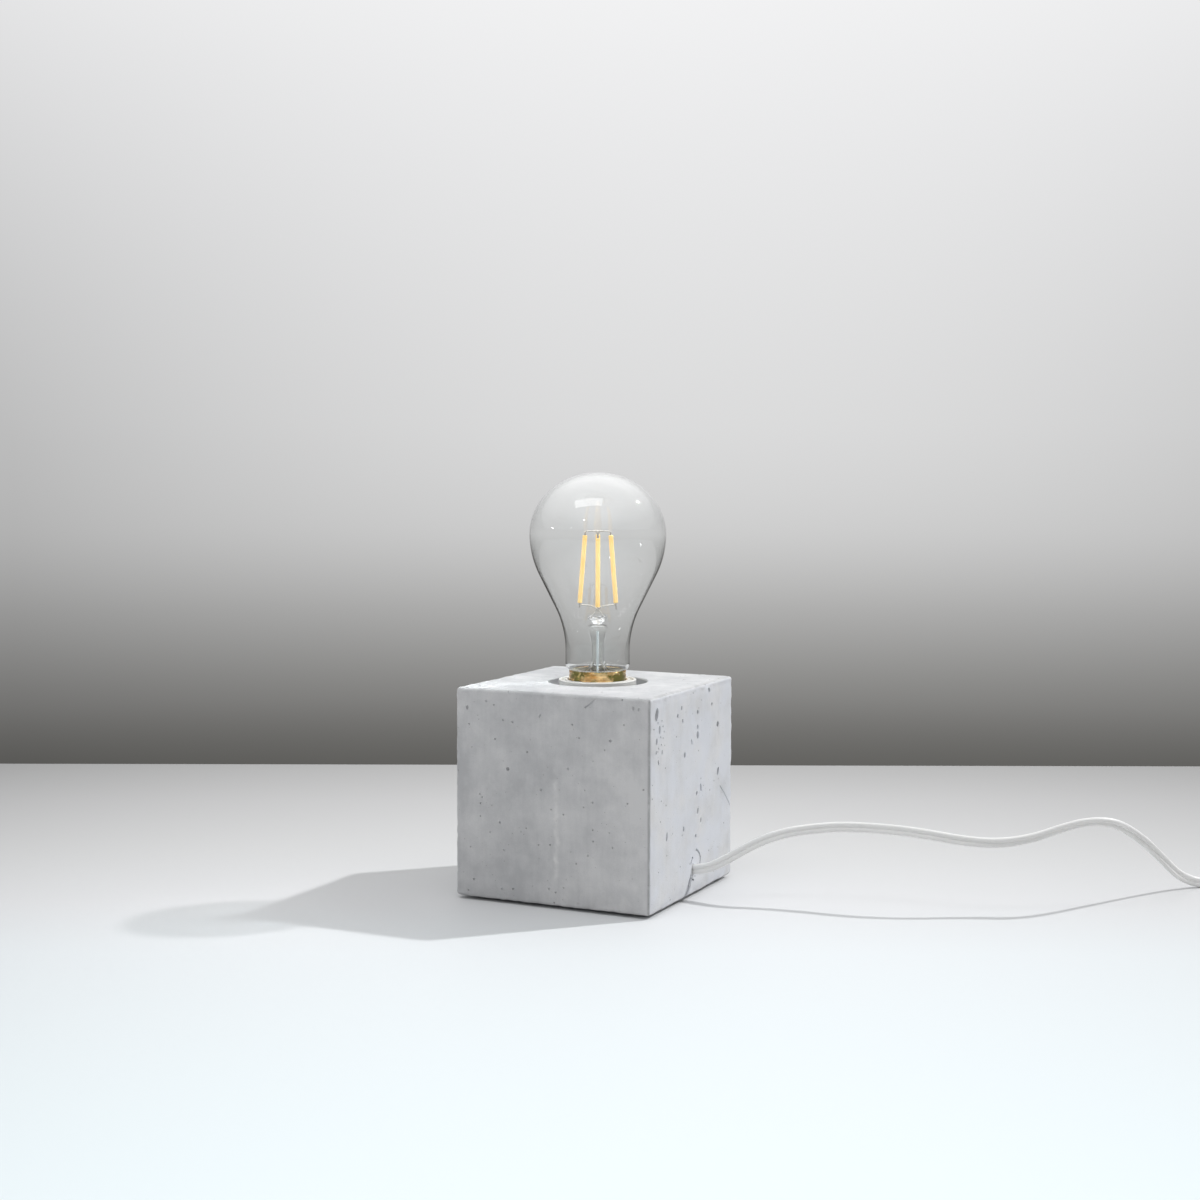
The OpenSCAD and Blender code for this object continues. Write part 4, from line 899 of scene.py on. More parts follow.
def arc(middle, radius, start, end, steps):
    """Points of an arc, from a start to an end angle in degrees."""
    turns = [math.radians(start + (end - start) * i / steps) for i in range(steps + 1)]
    return [(middle[0] + radius * math.cos(a), middle[1] + radius * math.sin(a)) for a in turns]


def rows(r, z0, z1, count):
    return [(r, z0 + (z1 - z0) * i / count) for i in range(count + 1)]


def moved(piece, rule):
    """Every corner goes where the rule says; places are in mm."""
    for v in piece.data.vertices:
        v.co = Vector(rule(*(v.co / MM))) * MM
    piece.data.update()
    return piece


# %% [markdown]
# ## The cast block
#
# The mould gives a cube with softly rounded edges, never quite flat or straight. The cube
# is cut into a fine grid, its twelve edges are bevelled, and a cloud pattern presses its
# skin in by a few tenths of a millimetre, with a finer one that crumbles only the edges.

# %% Cube with worn edges
HALF, BASE_Z, TOP_Z, EDGE_R = 50, 1, 100, 2.0
block = box("concrete", (-HALF, -HALF, BASE_Z), (HALF, HALF, TOP_Z))
edit(block, "FACE", None, bpy.ops.mesh.subdivide, number_cuts=47)


def sides_at(place, within=0.1):
    """How many of the cube's sides a place in mm lies on."""
    away = (abs(place.x) - HALF, abs(place.y) - HALF,
            abs(place.z - (BASE_Z + TOP_Z) / 2) - (TOP_Z - BASE_Z) / 2)
    return sum(distance > -within for distance in away)


bevel_where(block, EDGE_R, 4, lambda a, b: min(sides_at(a), sides_at(b)) > 1)
near_edges = [v.index for v in block.data.vertices if sides_at(v.co / MM, 2.4) > 1]
block.vertex_groups.new(name="edges").add(near_edges, 1.0, "REPLACE")
for name, lump, depth, group in (("slow_dents", 24, 0.30, ""), ("crumbs", 3.2, 0.75, "edges")):
    pattern = bpy.data.textures.new(name, "CLOUDS")
    pattern.noise_scale = lump * MM
    finish_with(block, "DISPLACE", texture=pattern, strength=depth * MM, mid_level=1.0,
                vertex_group=group)
print("block:", len(block.data.vertices), "corners")

# %% [markdown]
# Below is a chamber for the cable clamp, above a round pocket for the lampholder, and a
# narrow bore for the fixing tube joins them. All three are turned, so one turned cutter
# does them at once. The cord's way is a round hole, then a slot that just lets it through.

# %% Pocket, chamber and cord way
def oval(width, thickness, points=9):
    """Outline with round ends, its width on the first axis."""
    r, reach = thickness / 2, (width - thickness) / 2
    half = [(reach + r * math.cos(a), r * math.sin(a))
            for a in [math.pi * (i / (points - 1) - 0.5) for i in range(points)]]
    return half + [(-u, -v) for u, v in half]


def peg(radius, x, y, z0, z1):
    """A round upright cutter or boss."""
    hold()
    bpy.ops.mesh.primitive_cylinder_add(vertices=40, radius=radius * MM, depth=(z1 - z0) * MM,
                                        location=(x * MM, y * MM, (z0 + z1) / 2 * MM))
    return keep_place(bpy.context.object, "peg")


INSERT_AT = 37
cut_away(block, turned("pocket_cutter", [
    (0, -1), (41.9, -1), (41.9, 3), (32, 3), (32, 30), (5.2, 30), (5.2, 44), (23.65, 44),
    (23.65, 99.3), (24.4, 100.1), (24.4, 101), (0, 101)]))
cut_away(block, bar("tunnel", (27, 0, EXIT_Z), (44, 0, EXIT_Z), round_outline(4.55, 40)))
cut_away(block, bar("slot", (43, 0, EXIT_Z), (51, 0, EXIT_Z), oval(5.6, 3.2)))
for degrees in (60, 180, 300):
    a = math.radians(degrees)
    cut_away(block, peg(2.4, INSERT_AT * math.cos(a), INSERT_AT * math.sin(a), 2, 10))


# %% [markdown]
# Air that was caught against the mould leaves round bubbles, a few of them tall. Those on
# the two faces in the picture lie where they show; the other faces get their own, strewn by
# a seeded die. Each bubble is a small rough ball, and all are cut out in one go.

# %% Bubbles, chips, cracks and a groove of painted shade
FRONT_BUBBLES = [  # x, z, radius, height over width
    (-43.2, 90.4, 0.9, 1.5), (-33.2, 94, 0.6, 1), (-19.4, 85.2, 0.7, 1), (-5.2, 88.8, 0.5, 2.6),
    (-42.2, 82.8, 0.6, 1), (-28.5, 76.7, 0.6, 1), (-22, 63.2, 1.1, 1), (9.1, 65.5, 0.7, 1),
    (-36.5, 50.4, 0.6, 1), (-4.7, 54.8, 0.6, 1), (-26, 37.9, 0.7, 1), (-31.2, 33, 0.6, 1),
    (-23.9, 25.2, 0.6, 1), (-39.8, 10, 0.7, 1), (-25, 6.8, 0.8, 1), (-19.2, 7.4, 0.7, 1),
    (-0.6, 9.3, 0.6, 1), (2.8, 8, 0.6, 1), (14, 3.8, 0.6, 1), (31.4, 31.3, 0.6, 1),
    (19.2, 26.5, 0.6, 1), (30.1, 79.7, 0.8, 1), (41.4, 94.9, 0.7, 1.8), (44, 94.6, 0.6, 1.6),
    (21.4, 51.1, 0.6, 1)]
RIGHT_BUBBLES = [  # y, z, radius, height over width
    (-43.2, 91.8, 1.5, 1.9), (-39.8, 84.6, 0.9, 2), (-43.1, 79.7, 0.9, 1.6), (-14.7, 91.5, 0.8, 1.2),
    (4.6, 87.3, 0.9, 1), (18.7, 96.1, 1.1, 1), (22, 89, 0.8, 1), (29.8, 78.3, 1.3, 1),
    (-19.3, 88.4, 0.9, 1), (-13.4, 85.3, 0.7, 1.5), (4.7, 80.2, 0.9, 1.2), (4.8, 76.4, 1.2, 1.4),
    (-2.5, 74.1, 0.7, 2), (-10.8, 69.1, 1, 1.2), (30.3, 55.4, 1, 2), (8.9, 51, 0.9, 3),
    (4, 49, 0.9, 1), (5.4, 40.2, 0.8, 2), (9.2, 35.2, 0.7, 2), (-11.5, 34.6, 0.9, 1.3),
    (3.1, 28.7, 0.9, 1), (-31.3, 34.5, 0.8, 3), (-37, 74, 0.7, 1.5), (-41, 70, 0.6, 2),
    (-37.4, 88.5, 0.45, 1), (-36.2, 85.7, 0.5, 1), (-38.6, 81.2, 0.45, 1.3), (-35.8, 80.4, 0.4, 1),
    (-40.8, 76.3, 0.5, 1.2), (-37.6, 77.6, 0.45, 1), (-43.6, 74.9, 0.5, 2), (-33.9, 76.8, 0.4, 1),
    (-34.8, 83.2, 0.4, 1.4), (-41.9, 88, 0.5, 1.2)]
die = random.Random(11)


def bubble(place, radius, tall=1.0):
    """A rough ball that bites a block face; place is in mm."""
    tilt = [die.random() * most for most in (0.4, 0.4, 6)]
    bpy.ops.mesh.primitive_ico_sphere_add(subdivisions=2, radius=radius * MM,
                                          location=Vector(place) * MM, rotation=tilt)
    ball = bpy.context.object
    ball.scale = (1, 1, tall)
    for v in ball.data.vertices:
        v.co *= 1 + 0.12 * (die.random() - 0.5)
    return keep_place(ball)


hold()
balls = [bubble((x, -HALF + 0.35 * r, z), 0.9 * r, tall) for x, z, r, tall in FRONT_BUBBLES]
balls += [bubble((HALF - 0.35 * r, y, z), 1.2 * r, tall) for y, z, r, tall in RIGHT_BUBBLES]
STREWN, STREWN_REACH, POCKET_ROOM = 66, 45, 27
strewn = []
while len(strewn) < STREWN:
    u, w = (die.uniform(-STREWN_REACH, STREWN_REACH) for _ in range(2))
    r = 0.45 + 1.1 * die.random() ** 3
    face = len(strewn) % 3  # left, back, top
    clear_of_hole = face < 2 or math.hypot(u, w) > POCKET_ROOM
    if clear_of_hole and all(f != face or math.hypot(u - a, w - b) > r + s + 0.6
                             for f, a, b, s in strewn):
        strewn.append((face, u, w, r if face < 2 else r * 0.6))
for face, u, w, r in strewn:
    balls.append(bubble([(-HALF + 0.4 * r, u, w + HALF), (u, HALF - 0.4 * r, w + HALF),
                         (u, w, TOP_Z - 0.3 * r)][face], r, 1 + (die.random() < 0.2)))
CHIPS_AND_SHADOW_PIT = [  # x, y, z, radius
    # The chip at (50.3, -9.2) sits where the cord's shadow meets the bottom edge and darkens it: painted shade cut
    # into the block.
    (50.6, 50.4, 1.2, 3.4), (50.3, -9.2, 0.7, 1.9), (50.5, -2.6, 16.6, 1.1), (50.5, 2.2, 9.6, 1.1),
    (50.5, -1.8, 9.9, 1.2), (50.9, -18, 0.4, 1.6), (51, 51, 57, 1.9), (-51, -51, 31, 1.9),
    (-50.9, -50.9, 99.8, 2.1), (30, -51, 101, 1.5), (-12, -51.1, 100.9, 1.4), (51, -32, 101, 1.5),
    (51, 22, 101.1, 1.6), (-28, -51, 0.2, 1.5), (51.1, -51, 62, 1.7), (51, -51.1, 17, 1.8),
    (-51, 12, 101, 1.7), (-8, 51, 101, 1.8), (16, -51.1, 0.3, 1.4)]
balls += [bubble((x, y, z), r) for x, y, z, r in CHIPS_AND_SHADOW_PIT]
cut_away(block, joined("bubbles", balls))

CRACKS_AND_SHADOW_GROOVE = [  # points, radius
    ([(49.5, 3.2, 22.4), (49.4, 5.6, 21.2), (49.4, 8, 19.1), (49.4, 8.8, 17.1), (49.5, 8.4, 14.6)], 0.85),
    ([(49.6, -2.3, 17), (49.6, -1.6, 18.4), (49.6, 0.2, 19.2)], 0.7),
    ([(49.6, -2.4, 10.4), (49.6, -1.2, 8.9), (49.6, 1.4, 8.2)], 0.6),
    # The groove from the cord's way down to the bottom edge follows the cord's shadow and darkens it: painted shade
    # cut into the block.
    ([(49.6, -2.2, 11), (49.6, -4.6, 8.2), (49.6, -6.2, 5), (49.6, -8.9, 0.5)], 0.75),
    ([(49.8, 33, 48), (49.8, 41, 41.5), (49.8, 49.8, 33)], 0.42),
    ([(17.4, -49.75, 93.9), (20, -49.75, 95.8), (22.9, -49.75, 98.4)], 0.5)]
for points, radius in CRACKS_AND_SHADOW_GROOVE:
    cut_away(block, tube("crack_and_shadow_groove", smooth_route(points, 1.0), round_outline(radius, 6)))
rider(smooth(block, 35), "root", "concrete", "concrete_block")
assert len(block.data.polygons) > 10000, "the block was lost in a cut"
print("concrete:", len(block.data.polygons), "faces after", len(balls), "bubbles and chips")

# %% [markdown]
# ## The lampholder's shell
#
# The white shell stands free in its pocket with a dark gap round it, and its mouth has two
# low rims. It is one turned wall, whose corners a bevel makes as soft as moulding does.

# %% Holder shell
shell = turned("holder_shell", closed([
    (16.9, 58), (18.5, 58), (18.5, 100.8), (17.2, 100.8), (17.2, 99.6), (15.5, 99.6),
    (15.5, 100.8), (14.2, 100.8), (14.2, 91.8), (15.5, 91.8), (15.5, 98.2), (15.9, 98.2),
    (15.9, 76.05), (16.9, 76.05)]), 128)
rider(smooth(soften(shell, 0.28, 3, 50), 50), "root", "holder_white", "holder_skirt")

# %% [markdown]
# ## Threads
#
# An Edison thread is a soft wave rolled into thin sheet, the same inside and out. The cap
# and the holder's brass shell are turned with fine rows, and each row's corners then move
# in and out with their angle, so that the wave climbs one pitch each turn.

# %% Cap and brass shell
PITCH, THREAD_MINOR, THREAD_MAJOR, THREAD_GAP = 3.629, 12.15, 13.1, 0.25
CAP_Z0, CAP_Z1 = 80.9, 98.8
SHELL_Z0, SHELL_Z1 = 78, 97.2


def threaded(piece, z0, z1, on_wall, plain, depth):
    """The corners on a wall between two heights leave a plain radius by up to a depth."""
    def rule(x, y, z):
        radius = math.hypot(x, y)
        if not (on_wall(radius) and z0 < z < z1):
            return x, y, z
        wave = math.copysign(0.5, depth) * math.cos(math.tau * z / PITCH - math.atan2(y, x))
        there = max(0, min(1, min(z - z0, z1 - z) / (PITCH / 2)))
        to = plain + depth * (0.5 + wave) * there
        return x * to / radius, y * to / radius, z
    return smooth(moved(piece, rule), 60)


cap = turned("screw_cap", closed(
    [(10.5, 79.9), (10.95, 79.9), (11.5, 80.1)] + rows(THREAD_MINOR, CAP_Z0, CAP_Z1, 60)
    + [(12.15, 99.1), (12.7, 99.3), (13.3, 99.65), (13.55, 100), (13.6, 100.4), (13.6, 102.9),
       (13.45, 103.15), (13.45, 103.45), (13.6, 103.7), (13.6, 104.9), (13.55, 105.15),
       (13.4, 105.28), (13.25, 105.2), (13.2, 105), (13.2, 100.5), (11.7, 99.5), (11.7, 81.4)]))
threaded(cap, CAP_Z0, CAP_Z1, lambda r: r > THREAD_MINOR - 0.1, THREAD_MINOR,
         THREAD_MAJOR - THREAD_MINOR)
rider(cap, "bulb", "cap_gold", "bulb_cap")

brass_shell = turned("brass_shell", closed(
    [(13.35, 76)] + rows(THREAD_MAJOR + THREAD_GAP, SHELL_Z0, SHELL_Z1, 60)
    + [(13.35, 97.8), (13.7, 97.8), (13.7, 76)]))
threaded(brass_shell, SHELL_Z0, SHELL_Z1, lambda r: r < 13.5, THREAD_MAJOR + THREAD_GAP,
         THREAD_MINOR - THREAD_MAJOR)
rider(brass_shell, "root", "brass", "screw_shell")

# %% [markdown]
# ## The glass envelope
#
# The bulb is blown in a mould: a straight neck, a throat that opens in one sweep, a long
# shoulder and a dome that is a little flatter than round. The wall is half a millimetre
# thick, so the same arcs are drawn twice, the second time drawn in, and joined at the foot.

# %% Envelope
WIDE_Z, DOME_R, DOME_H, WALL = 169.99, 32.5, 29.2, 0.5


def envelope(inset):
    """The glass's outline from its foot to its top, drawn in by a distance in mm."""
    dome = [((DOME_R - inset) * math.cos(a), WIDE_Z + (DOME_H - inset) * math.sin(a))
            for a in [math.pi / 2 * i / 28 for i in range(1, 29)]]
    dome[-1] = (0, dome[-1][1])
    return ([(12.7 - inset, 102.3), (12.7 - inset, 105.4), (13.9 - inset, 105.7)]
            + arc((10.4, 109), 5 - inset, -38, 0, 8) + arc((60.4, 114.9), 45 + inset, 180, 153.6, 12)
            + arc((-10.5, WIDE_Z), 43 - inset, -26.4, 0, 12) + dome)


glass = turned("glass_envelope", envelope(0) + envelope(WALL)[::-1] + [(12.7, 102.3)], 128)
rider(smooth(glass, 80), "bulb", "clear_glass", "bulb_glass")
print("glass top at", round(max(v.co.z for v in glass.data.vertices) / MM, 2), "mm")

# %% [markdown]
# ## Stem and exhaust tube
#
# Inside the neck a flared glass tube carries the sticks. Its top was pinched flat round
# the wires while soft. It is turned round first and pinched after, by widening its top one
# way and thinning it the other. A thin tube, through which the air was drawn out, ends in it.

# %% Stem
PRESS_Z0, PINCH_Z0, BULB_YAW = 124, 117, 25.4
STEM_R, PRESS_WIDE, PRESS_THIN = 3.2, 4.5, 1.5


def in_bulb(u, v, z, turn=0):
    """A place in the bulb's own frame, which is turned a little about the lamp's axis."""
    a = math.radians(BULB_YAW + turn)
    return u * math.cos(a) - v * math.sin(a), u * math.sin(a) + v * math.cos(a), z


def pinch(x, y, z):
    k = max(0, min(1, (z - PINCH_Z0) / (PRESS_Z0 - PINCH_Z0)))
    k = k * k * (3 - 2 * k)
    return in_bulb(x * (1 + k * (PRESS_WIDE / STEM_R - 1)), y * (1 + k * (PRESS_THIN / STEM_R - 1)), z)


stem = turned("stem", [(0, 126.4), (1.6, 126.3), (2.5, 125.9), (2.7, 125), (2.6, 121), (2.5, 117)]
              + arc((11.6, 110.7), 9.1, 180, 262, 12)
              + [(10.9, 101.4), (12.68, 101.4), (12.68, 102.25)]
              + arc((11.6, 110.7), 8.4, 270, 180, 12)
              + rows(STEM_R, 113, 126, 13) + [(3.05, 126.5), (2.5, 126.9), (0, 126.9)], 64)
rider(smooth(moved(stem, pinch), 60), "bulb", "clear_glass", "glass_stem", look="stem_glass")


def squeezed(x, y, z):
    """Flat and wide, with the lumps that the hot jaws leave."""
    turn = math.atan2(y, x)
    lump = 1 + 0.14 * math.sin(2.6 * z + 3 * turn) + 0.10 * math.sin(4.7 * z - 5 * turn)
    return in_bulb(x * 4.3 / STEM_R * min(1.04, lump), y * 1.35 / STEM_R * lump, z)


press = turned("press", [(0, 127), (1.4, 127.05), (2.0, 127.6), (2.3, 128.4), (2.9, 129.2),
                         (3.2, 129.9), (3.15, 130.5), (2.7, 130.95), (1.5, 131), (0, 131)], 48)
rider(smooth(moved(press, squeezed), 60), "bulb", "clear_glass", "glass_stem", look="press_glass")

exhaust = turned("exhaust", closed([(0.3, 99.8), (0.5, 99.8), (0.6, 99.95)]
                                   + rows(0.6, 101, 123.8, 6) + [(0.3, 123.8)]), 32)
rider(smooth(exhaust, 60), "bulb", "clear_glass", "exhaust_tube", look="milky_glass")

# %% [markdown]
# ## Sticks and wires
#
# Four thin sticks, coated yellow, lean together towards the top. Flat metal tabs hold their
# ends, bent wires join them above and below, and two posts carry them from the press.

# %% Four sticks
STICK_R, STICK_LOW, STICK_TOP = 1.10, (8.6, 137.1), (6.1, 169.3)
QUARTERS = (0, 90, 180, 270)
FRONT_STICK, FRONT_LOW = 270, 1.3  # the stick nearest the camera hangs a little lower
sticks = []
for turn in QUARTERS:
    fall = FRONT_LOW if turn == FRONT_STICK else 0
    low, top = (in_bulb(r, 0, z - fall, turn) for r, z in (STICK_LOW, STICK_TOP))
    path = [[a + (b - a) * i / 12 for a, b in zip(low, top)] for i in range(13)]
    sticks.append(soften(tube("stick", path, round_outline(STICK_R, 20)), 0.4, 3, 50, clamp=True))
rider(smooth(joined("sticks", sticks), 50), "bulb", "phosphor", "led_filaments")

# %% Tabs at their ends
TAB_LOW, TAB_TOP, TAB_LOW_END, TAB_TOP_END = 137.4, 167.8, (134, 133.8, 135, 133.9), 170.7
TAB_R, TAB_STRETCH = 0.34, 0.62


def tab(z0, z1, turn):
    """A flat strip along a stick, from one height to another."""
    lean = (STICK_LOW[0] - STICK_TOP[0]) / (STICK_TOP[1] - STICK_LOW[1])
    ends = [in_bulb(STICK_TOP[0] + (STICK_TOP[1] - z) * lean, 0, z, turn) for z in (z0, z1)]
    a = math.radians(BULB_YAW + turn)
    strip = tube("tab", ends, round_outline(TAB_R, 8))
    along = Vector((-math.sin(a), math.cos(a), 0))
    middle = (Vector(ends[0]) + Vector(ends[1])) / 2 * MM
    for v in strip.data.vertices:
        v.co += along * (v.co - middle).dot(along) * TAB_STRETCH
    return strip


tabs = [tab(z0, z1, turn) for turn, end in zip(QUARTERS, TAB_LOW_END)
        for z0, z1 in ((end, TAB_LOW), (TAB_TOP, TAB_TOP_END))]
rider(smooth(joined("stick_ends", tabs), 50), "bulb", "nickel", "filament_tabs")

# %% Wires above, below and in the stem
WIRE_R, LEAD_R = 0.28, 0.33


def wire(name, points, radius=WIRE_R):
    return tube(name, smooth_route(points, 0.5), round_outline(radius, 10))


def bulb_wire(turn, *points, radius=WIRE_R):
    """A wire through points of (distance from the axis, height), turned about the axis."""
    return wire("wire", [in_bulb(u, 0, z, turn) for u, z in points], radius)


def bead(z, wide, high):
    hold()
    bpy.ops.mesh.primitive_uv_sphere_add(segments=24, ring_count=14, radius=MM,
                                         location=(0, 0, z * MM))
    bpy.context.object.scale = (wide, wide, high)
    return keep_place(bpy.context.object, "bead")


upper = [bead(171.1, 1.15, 0.75)] + [
    bulb_wire(turn, (0.3, 171.1), (2.6, 171.25), (4.8, 171.2), (5.99, 171.02)) for turn in QUARTERS]
lower = [bead(134.4, 0.88, 0.88)] + [
    bulb_wire(turn, (0.4, 134.5), (2.6, 135.7), (5.8, 136.2), (8.6, 136.3)) for turn in QUARTERS]
lower += [bulb_wire(turn, (2.5, 131.25), (1.7, 132.6), (0.3, 134.1)) for turn in (0, 180)]
leads = [bulb_wire(turn, (5, 98.5), (4.8, 100.1), (3.4, 104.3), (1.8, 109.3), (1.5, 112.3),
                   (1.5, 118.5), radius=LEAD_R) for turn in (0, 180)]
for name, parts, node in (("top_wires", upper, "top_hub"), ("low_wires", lower, "lower_hub"),
                          ("lead_pair", leads, "lead_wires")):
    rider(smooth(joined(name, parts), 60), "bulb", "nickel", node)


# %% [markdown]
# ## Cores inside the lamp
#
# In the chamber the sheath is stripped, and a brown and a blue core climb through the
# fixing tube to their terminals. They are the same tubes as the cord, drawn smoother than
# the CAD can.

# %% Cord and cores in the block
inner_low, inner_high = (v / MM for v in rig.box("cord_inner"))
TERMINAL_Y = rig.box("live_wire")[1].y / MM - 0.8
CORE_R, CORE_AT, CORE_SIDE = 0.8, 1.2, 1.7


def core_route(s):
    """Route of one core, live for 1 and neutral for -1, as in the CAD."""
    z = EXIT_Z - s * CORE_AT
    across = ((8, 1.3, 15.6), (4, 1.7, 18.6), (1.2, CORE_SIDE, 23), (0, CORE_SIDE, 26),
              (0, CORE_SIDE, 52), (0, CORE_SIDE + 1.6, 56), (0, CORE_SIDE + 4.6, 59.5),
              (0, TERMINAL_Y - 0.4, 61.6), (0, TERMINAL_Y, 64), (0, TERMINAL_Y, 68))
    return [(inner_low.x, 0, z), (13, 0, z)] + [(x, s * y, up) for x, y, up in across]


cord_inside = bar("cord_inside", (inner_low.x, 0, EXIT_Z), (inner_high.x, 0, EXIT_Z), TWIN)
rider(cord_inside, "root", "cord_sheath", "cord_inner")
for s, name, node in ((1, "live_core", "live_wire"), (-1, "neutral_core", "neutral_wire")):
    rider(tube(name, smooth_route(core_route(s), 1.0), round_outline(CORE_R, 14)), "root", name, node)
print("terminals at y =", round(TERMINAL_Y, 2), "mm")

# %% [markdown]
# ## The switch on the cord
#
# Two white shells close round the cord, and a rocker tips between them. Both shells share
# one plan, full in the middle and narrow where the cord comes in: a bar is bisected twice
# and its ends are drawn in. The edges are bevelled, and the hollow, the cord's way and the
# rocker's window are cut out.

# %% Switch shells
SWITCH_W, NOSE_W, NOSE_AT, SWITCH_H, SPLIT_Z, SWITCH_WALL = 27, 15, 21, 18, 7, 1.8
ROCKER_R, ROCKER_W, ROCKER_GAP, PIN_Z, ROCKER_TILT = 9, 12, 0.4, 14.6, 9
SCREWS_AT = ((18.5, 9.3), (-18.5, -9.3))


def switch_bar(name, inset, z0, z1):
    """A bar in the switch's plan, drawn in by an inset, at the origin."""
    long, wide = SWITCH_LEN / 2 - inset, SWITCH_W / 2 - inset
    piece = bisect_at(box(name, (-long, -wide, z0), (long, wide, z1)), NOSE_AT, -NOSE_AT)
    return edit(piece, "VERT", lambda v: abs(v.co.x) > (NOSE_AT + 1) * MM, bpy.ops.transform.resize,
                value=(1, (NOSE_W / 2 - inset) / wide, 1), center_override=(0, 0, 0))


def upright_or_at(z):
    """Whether an edge is upright, or on the level z and not one of the bisecting lines."""
    def wanted(a, b):
        upright = abs(a.x - b.x) < 0.01 and abs(a.y - b.y) < 0.01
        level = abs(a.z - z) < 0.01 and abs(b.z - z) < 0.01
        across = abs(a.x - b.x) < 0.01 and abs(a.x) < NOSE_AT + 1
        return upright or (level and not across)
    return wanted


def set_down(piece, place, heading, z=0):
    """A piece made at the origin is turned and put down at its place in mm."""
    piece.location = (place[0] * MM, place[1] * MM, z * MM)
    piece.rotation_euler = (0, 0, math.radians(heading))
    return keep_place(piece)


top_shell = bevel_where(switch_bar("switch_top", 0, SPLIT_Z, SWITCH_H), 2.4, 6, upright_or_at(SWITCH_H))
low_shell = bevel_where(switch_bar("switch_base", 0, 0, SPLIT_Z), 1.5, 4, upright_or_at(0))
cut_away(top_shell, switch_bar("hollow", SWITCH_WALL, SPLIT_Z - 1, SWITCH_H - SWITCH_WALL))
cut_away(low_shell, switch_bar("hollow", SWITCH_WALL, SWITCH_WALL, SPLIT_Z + 1))
for x, y in SCREWS_AT:
    for half, z0, z1 in ((top_shell, SPLIT_Z + 0.01, SWITCH_H - 1.5), (low_shell, 1, SPLIT_Z - 0.01)):
        cut_away(half, peg(2.8, x, y, z0, z1), "UNION")
    for half, radius, z0, z1 in ((top_shell, 1.2, SPLIT_Z - 1, SWITCH_H - 3.5),
                                 (low_shell, 1.5, -1, SPLIT_Z + 1), (low_shell, 2.5, -1, 2.2)):
        cut_away(half, peg(radius, x, y, z0, z1))
wide, deep = ROCKER_R + ROCKER_GAP, ROCKER_W / 2 + ROCKER_GAP
cut_away(top_shell, box("window", (-wide, -deep, 9), (wide, deep, 20)))
for half, node in ((top_shell, "switch_upper"), (low_shell, "switch_lower")):
    cut_away(half, bar("cord_way", (-40, 0, SWITCH_CORD_Z), (40, 0, SWITCH_CORD_Z), oval(5.1, 2.7)))
    smooth(soften(half, 0.18, 2, 60, clamp=True), 30)
    rider(set_down(half, SWITCH_PLACE, SWITCH_HEADING), "root", "switch_white", node)


# %% [markdown]
# The rocker is a slice of a round bar, whose ends stay round about its pin so that the
# window's gap is the same at both tilts. Its top is cut to a shallow V for the thumb.

# %% Rocker
hold()
bpy.ops.mesh.primitive_cylinder_add(vertices=96, radius=ROCKER_R * MM, depth=ROCKER_W * MM,
                                    rotation=(math.radians(90), 0, 0))
rocker = keep_place(bpy.context.object, "rocker")
for z, side in ((-2.5, -1), (4.1, 1)):
    edit(rocker, "FACE", None, bpy.ops.mesh.bisect, plane_co=(0, 0, z * MM), plane_no=(0, 0, side),
         clear_outer=True, use_fill=True)
bisect_at(rocker, -4, 0, 4)
for reach, fall in ((4.1, 0.6), (0.1, 0.5)):
    edit(rocker, "VERT", lambda v: abs(v.co.x) < reach * MM and v.co.z > 2.5 * MM,
         bpy.ops.transform.translate, value=(0, 0, -fall * MM))
cut_away(rocker, bar("pin_hole", (0, -8, 0), (0, 8, 0), round_outline(1.05, 32)))
soften(rocker, 0.45, 3, 50)
rocker.rotation_euler = (0, math.radians(-ROCKER_TILT), 0)
smooth(set_down(keep_place(rocker), SWITCH_PLACE, SWITCH_HEADING, PIN_Z), 35)
rider(rocker, "rocker", "switch_white", "switch_rocker")

# %% Cores in the switch
LIVE_Z, CONTACT_V, STUB = SWITCH_WALL + 4, 3, 9
bend, high, low = SWITCH_LEN / 2 - STUB, SWITCH_CORD_Z + CORE_AT, SWITCH_CORD_Z - CORE_AT
stubs = [bar("stub", (s * bend, 0, SWITCH_CORD_Z), (s * SWITCH_LEN / 2, 0, SWITCH_CORD_Z), TWIN)
         for s in (1, -1)]
lives = [wire("live", [(s * x, s * y, z) for x, y, z in (
    (bend, 0, low), (bend - 2.5, 0.5, low), (bend - 4.5, 2.2, LIVE_Z),
    (bend - 6.5, CONTACT_V, LIVE_Z), (11, CONTACT_V, LIVE_Z))], CORE_R - 0.02) for s in (1, -1)]
half = [(6, 9.6, SWITCH_CORD_Z - 1), (14, 8.4, SWITCH_CORD_Z + 1.5), (bend - 4, 0.6, high),
        (bend, 0, high)]
whole = wire("whole", [(-x, y, z) for x, y, z in half[::-1]] + half, CORE_R - 0.02)
for name, parts, slot in (("switch_stubs", stubs, "cord_sheath"), ("switch_live", lives, "live_core"),
                          ("switch_neutral", [whole], "neutral_core")):
    piece = set_down(joined(name, parts), SWITCH_PLACE, SWITCH_HEADING)
    rider(piece, "root", slot, "switch_wires")


# %% [markdown]
# ## Plug, strain relief and band
#
# The flat two-pin plug swells from the cord to its face, which gives the fingers a hold. It
# starts as a bar, bisected where its outline turns; each station is then widened to its
# size. The ribbed relief is turned. A woven band holds the coil together.

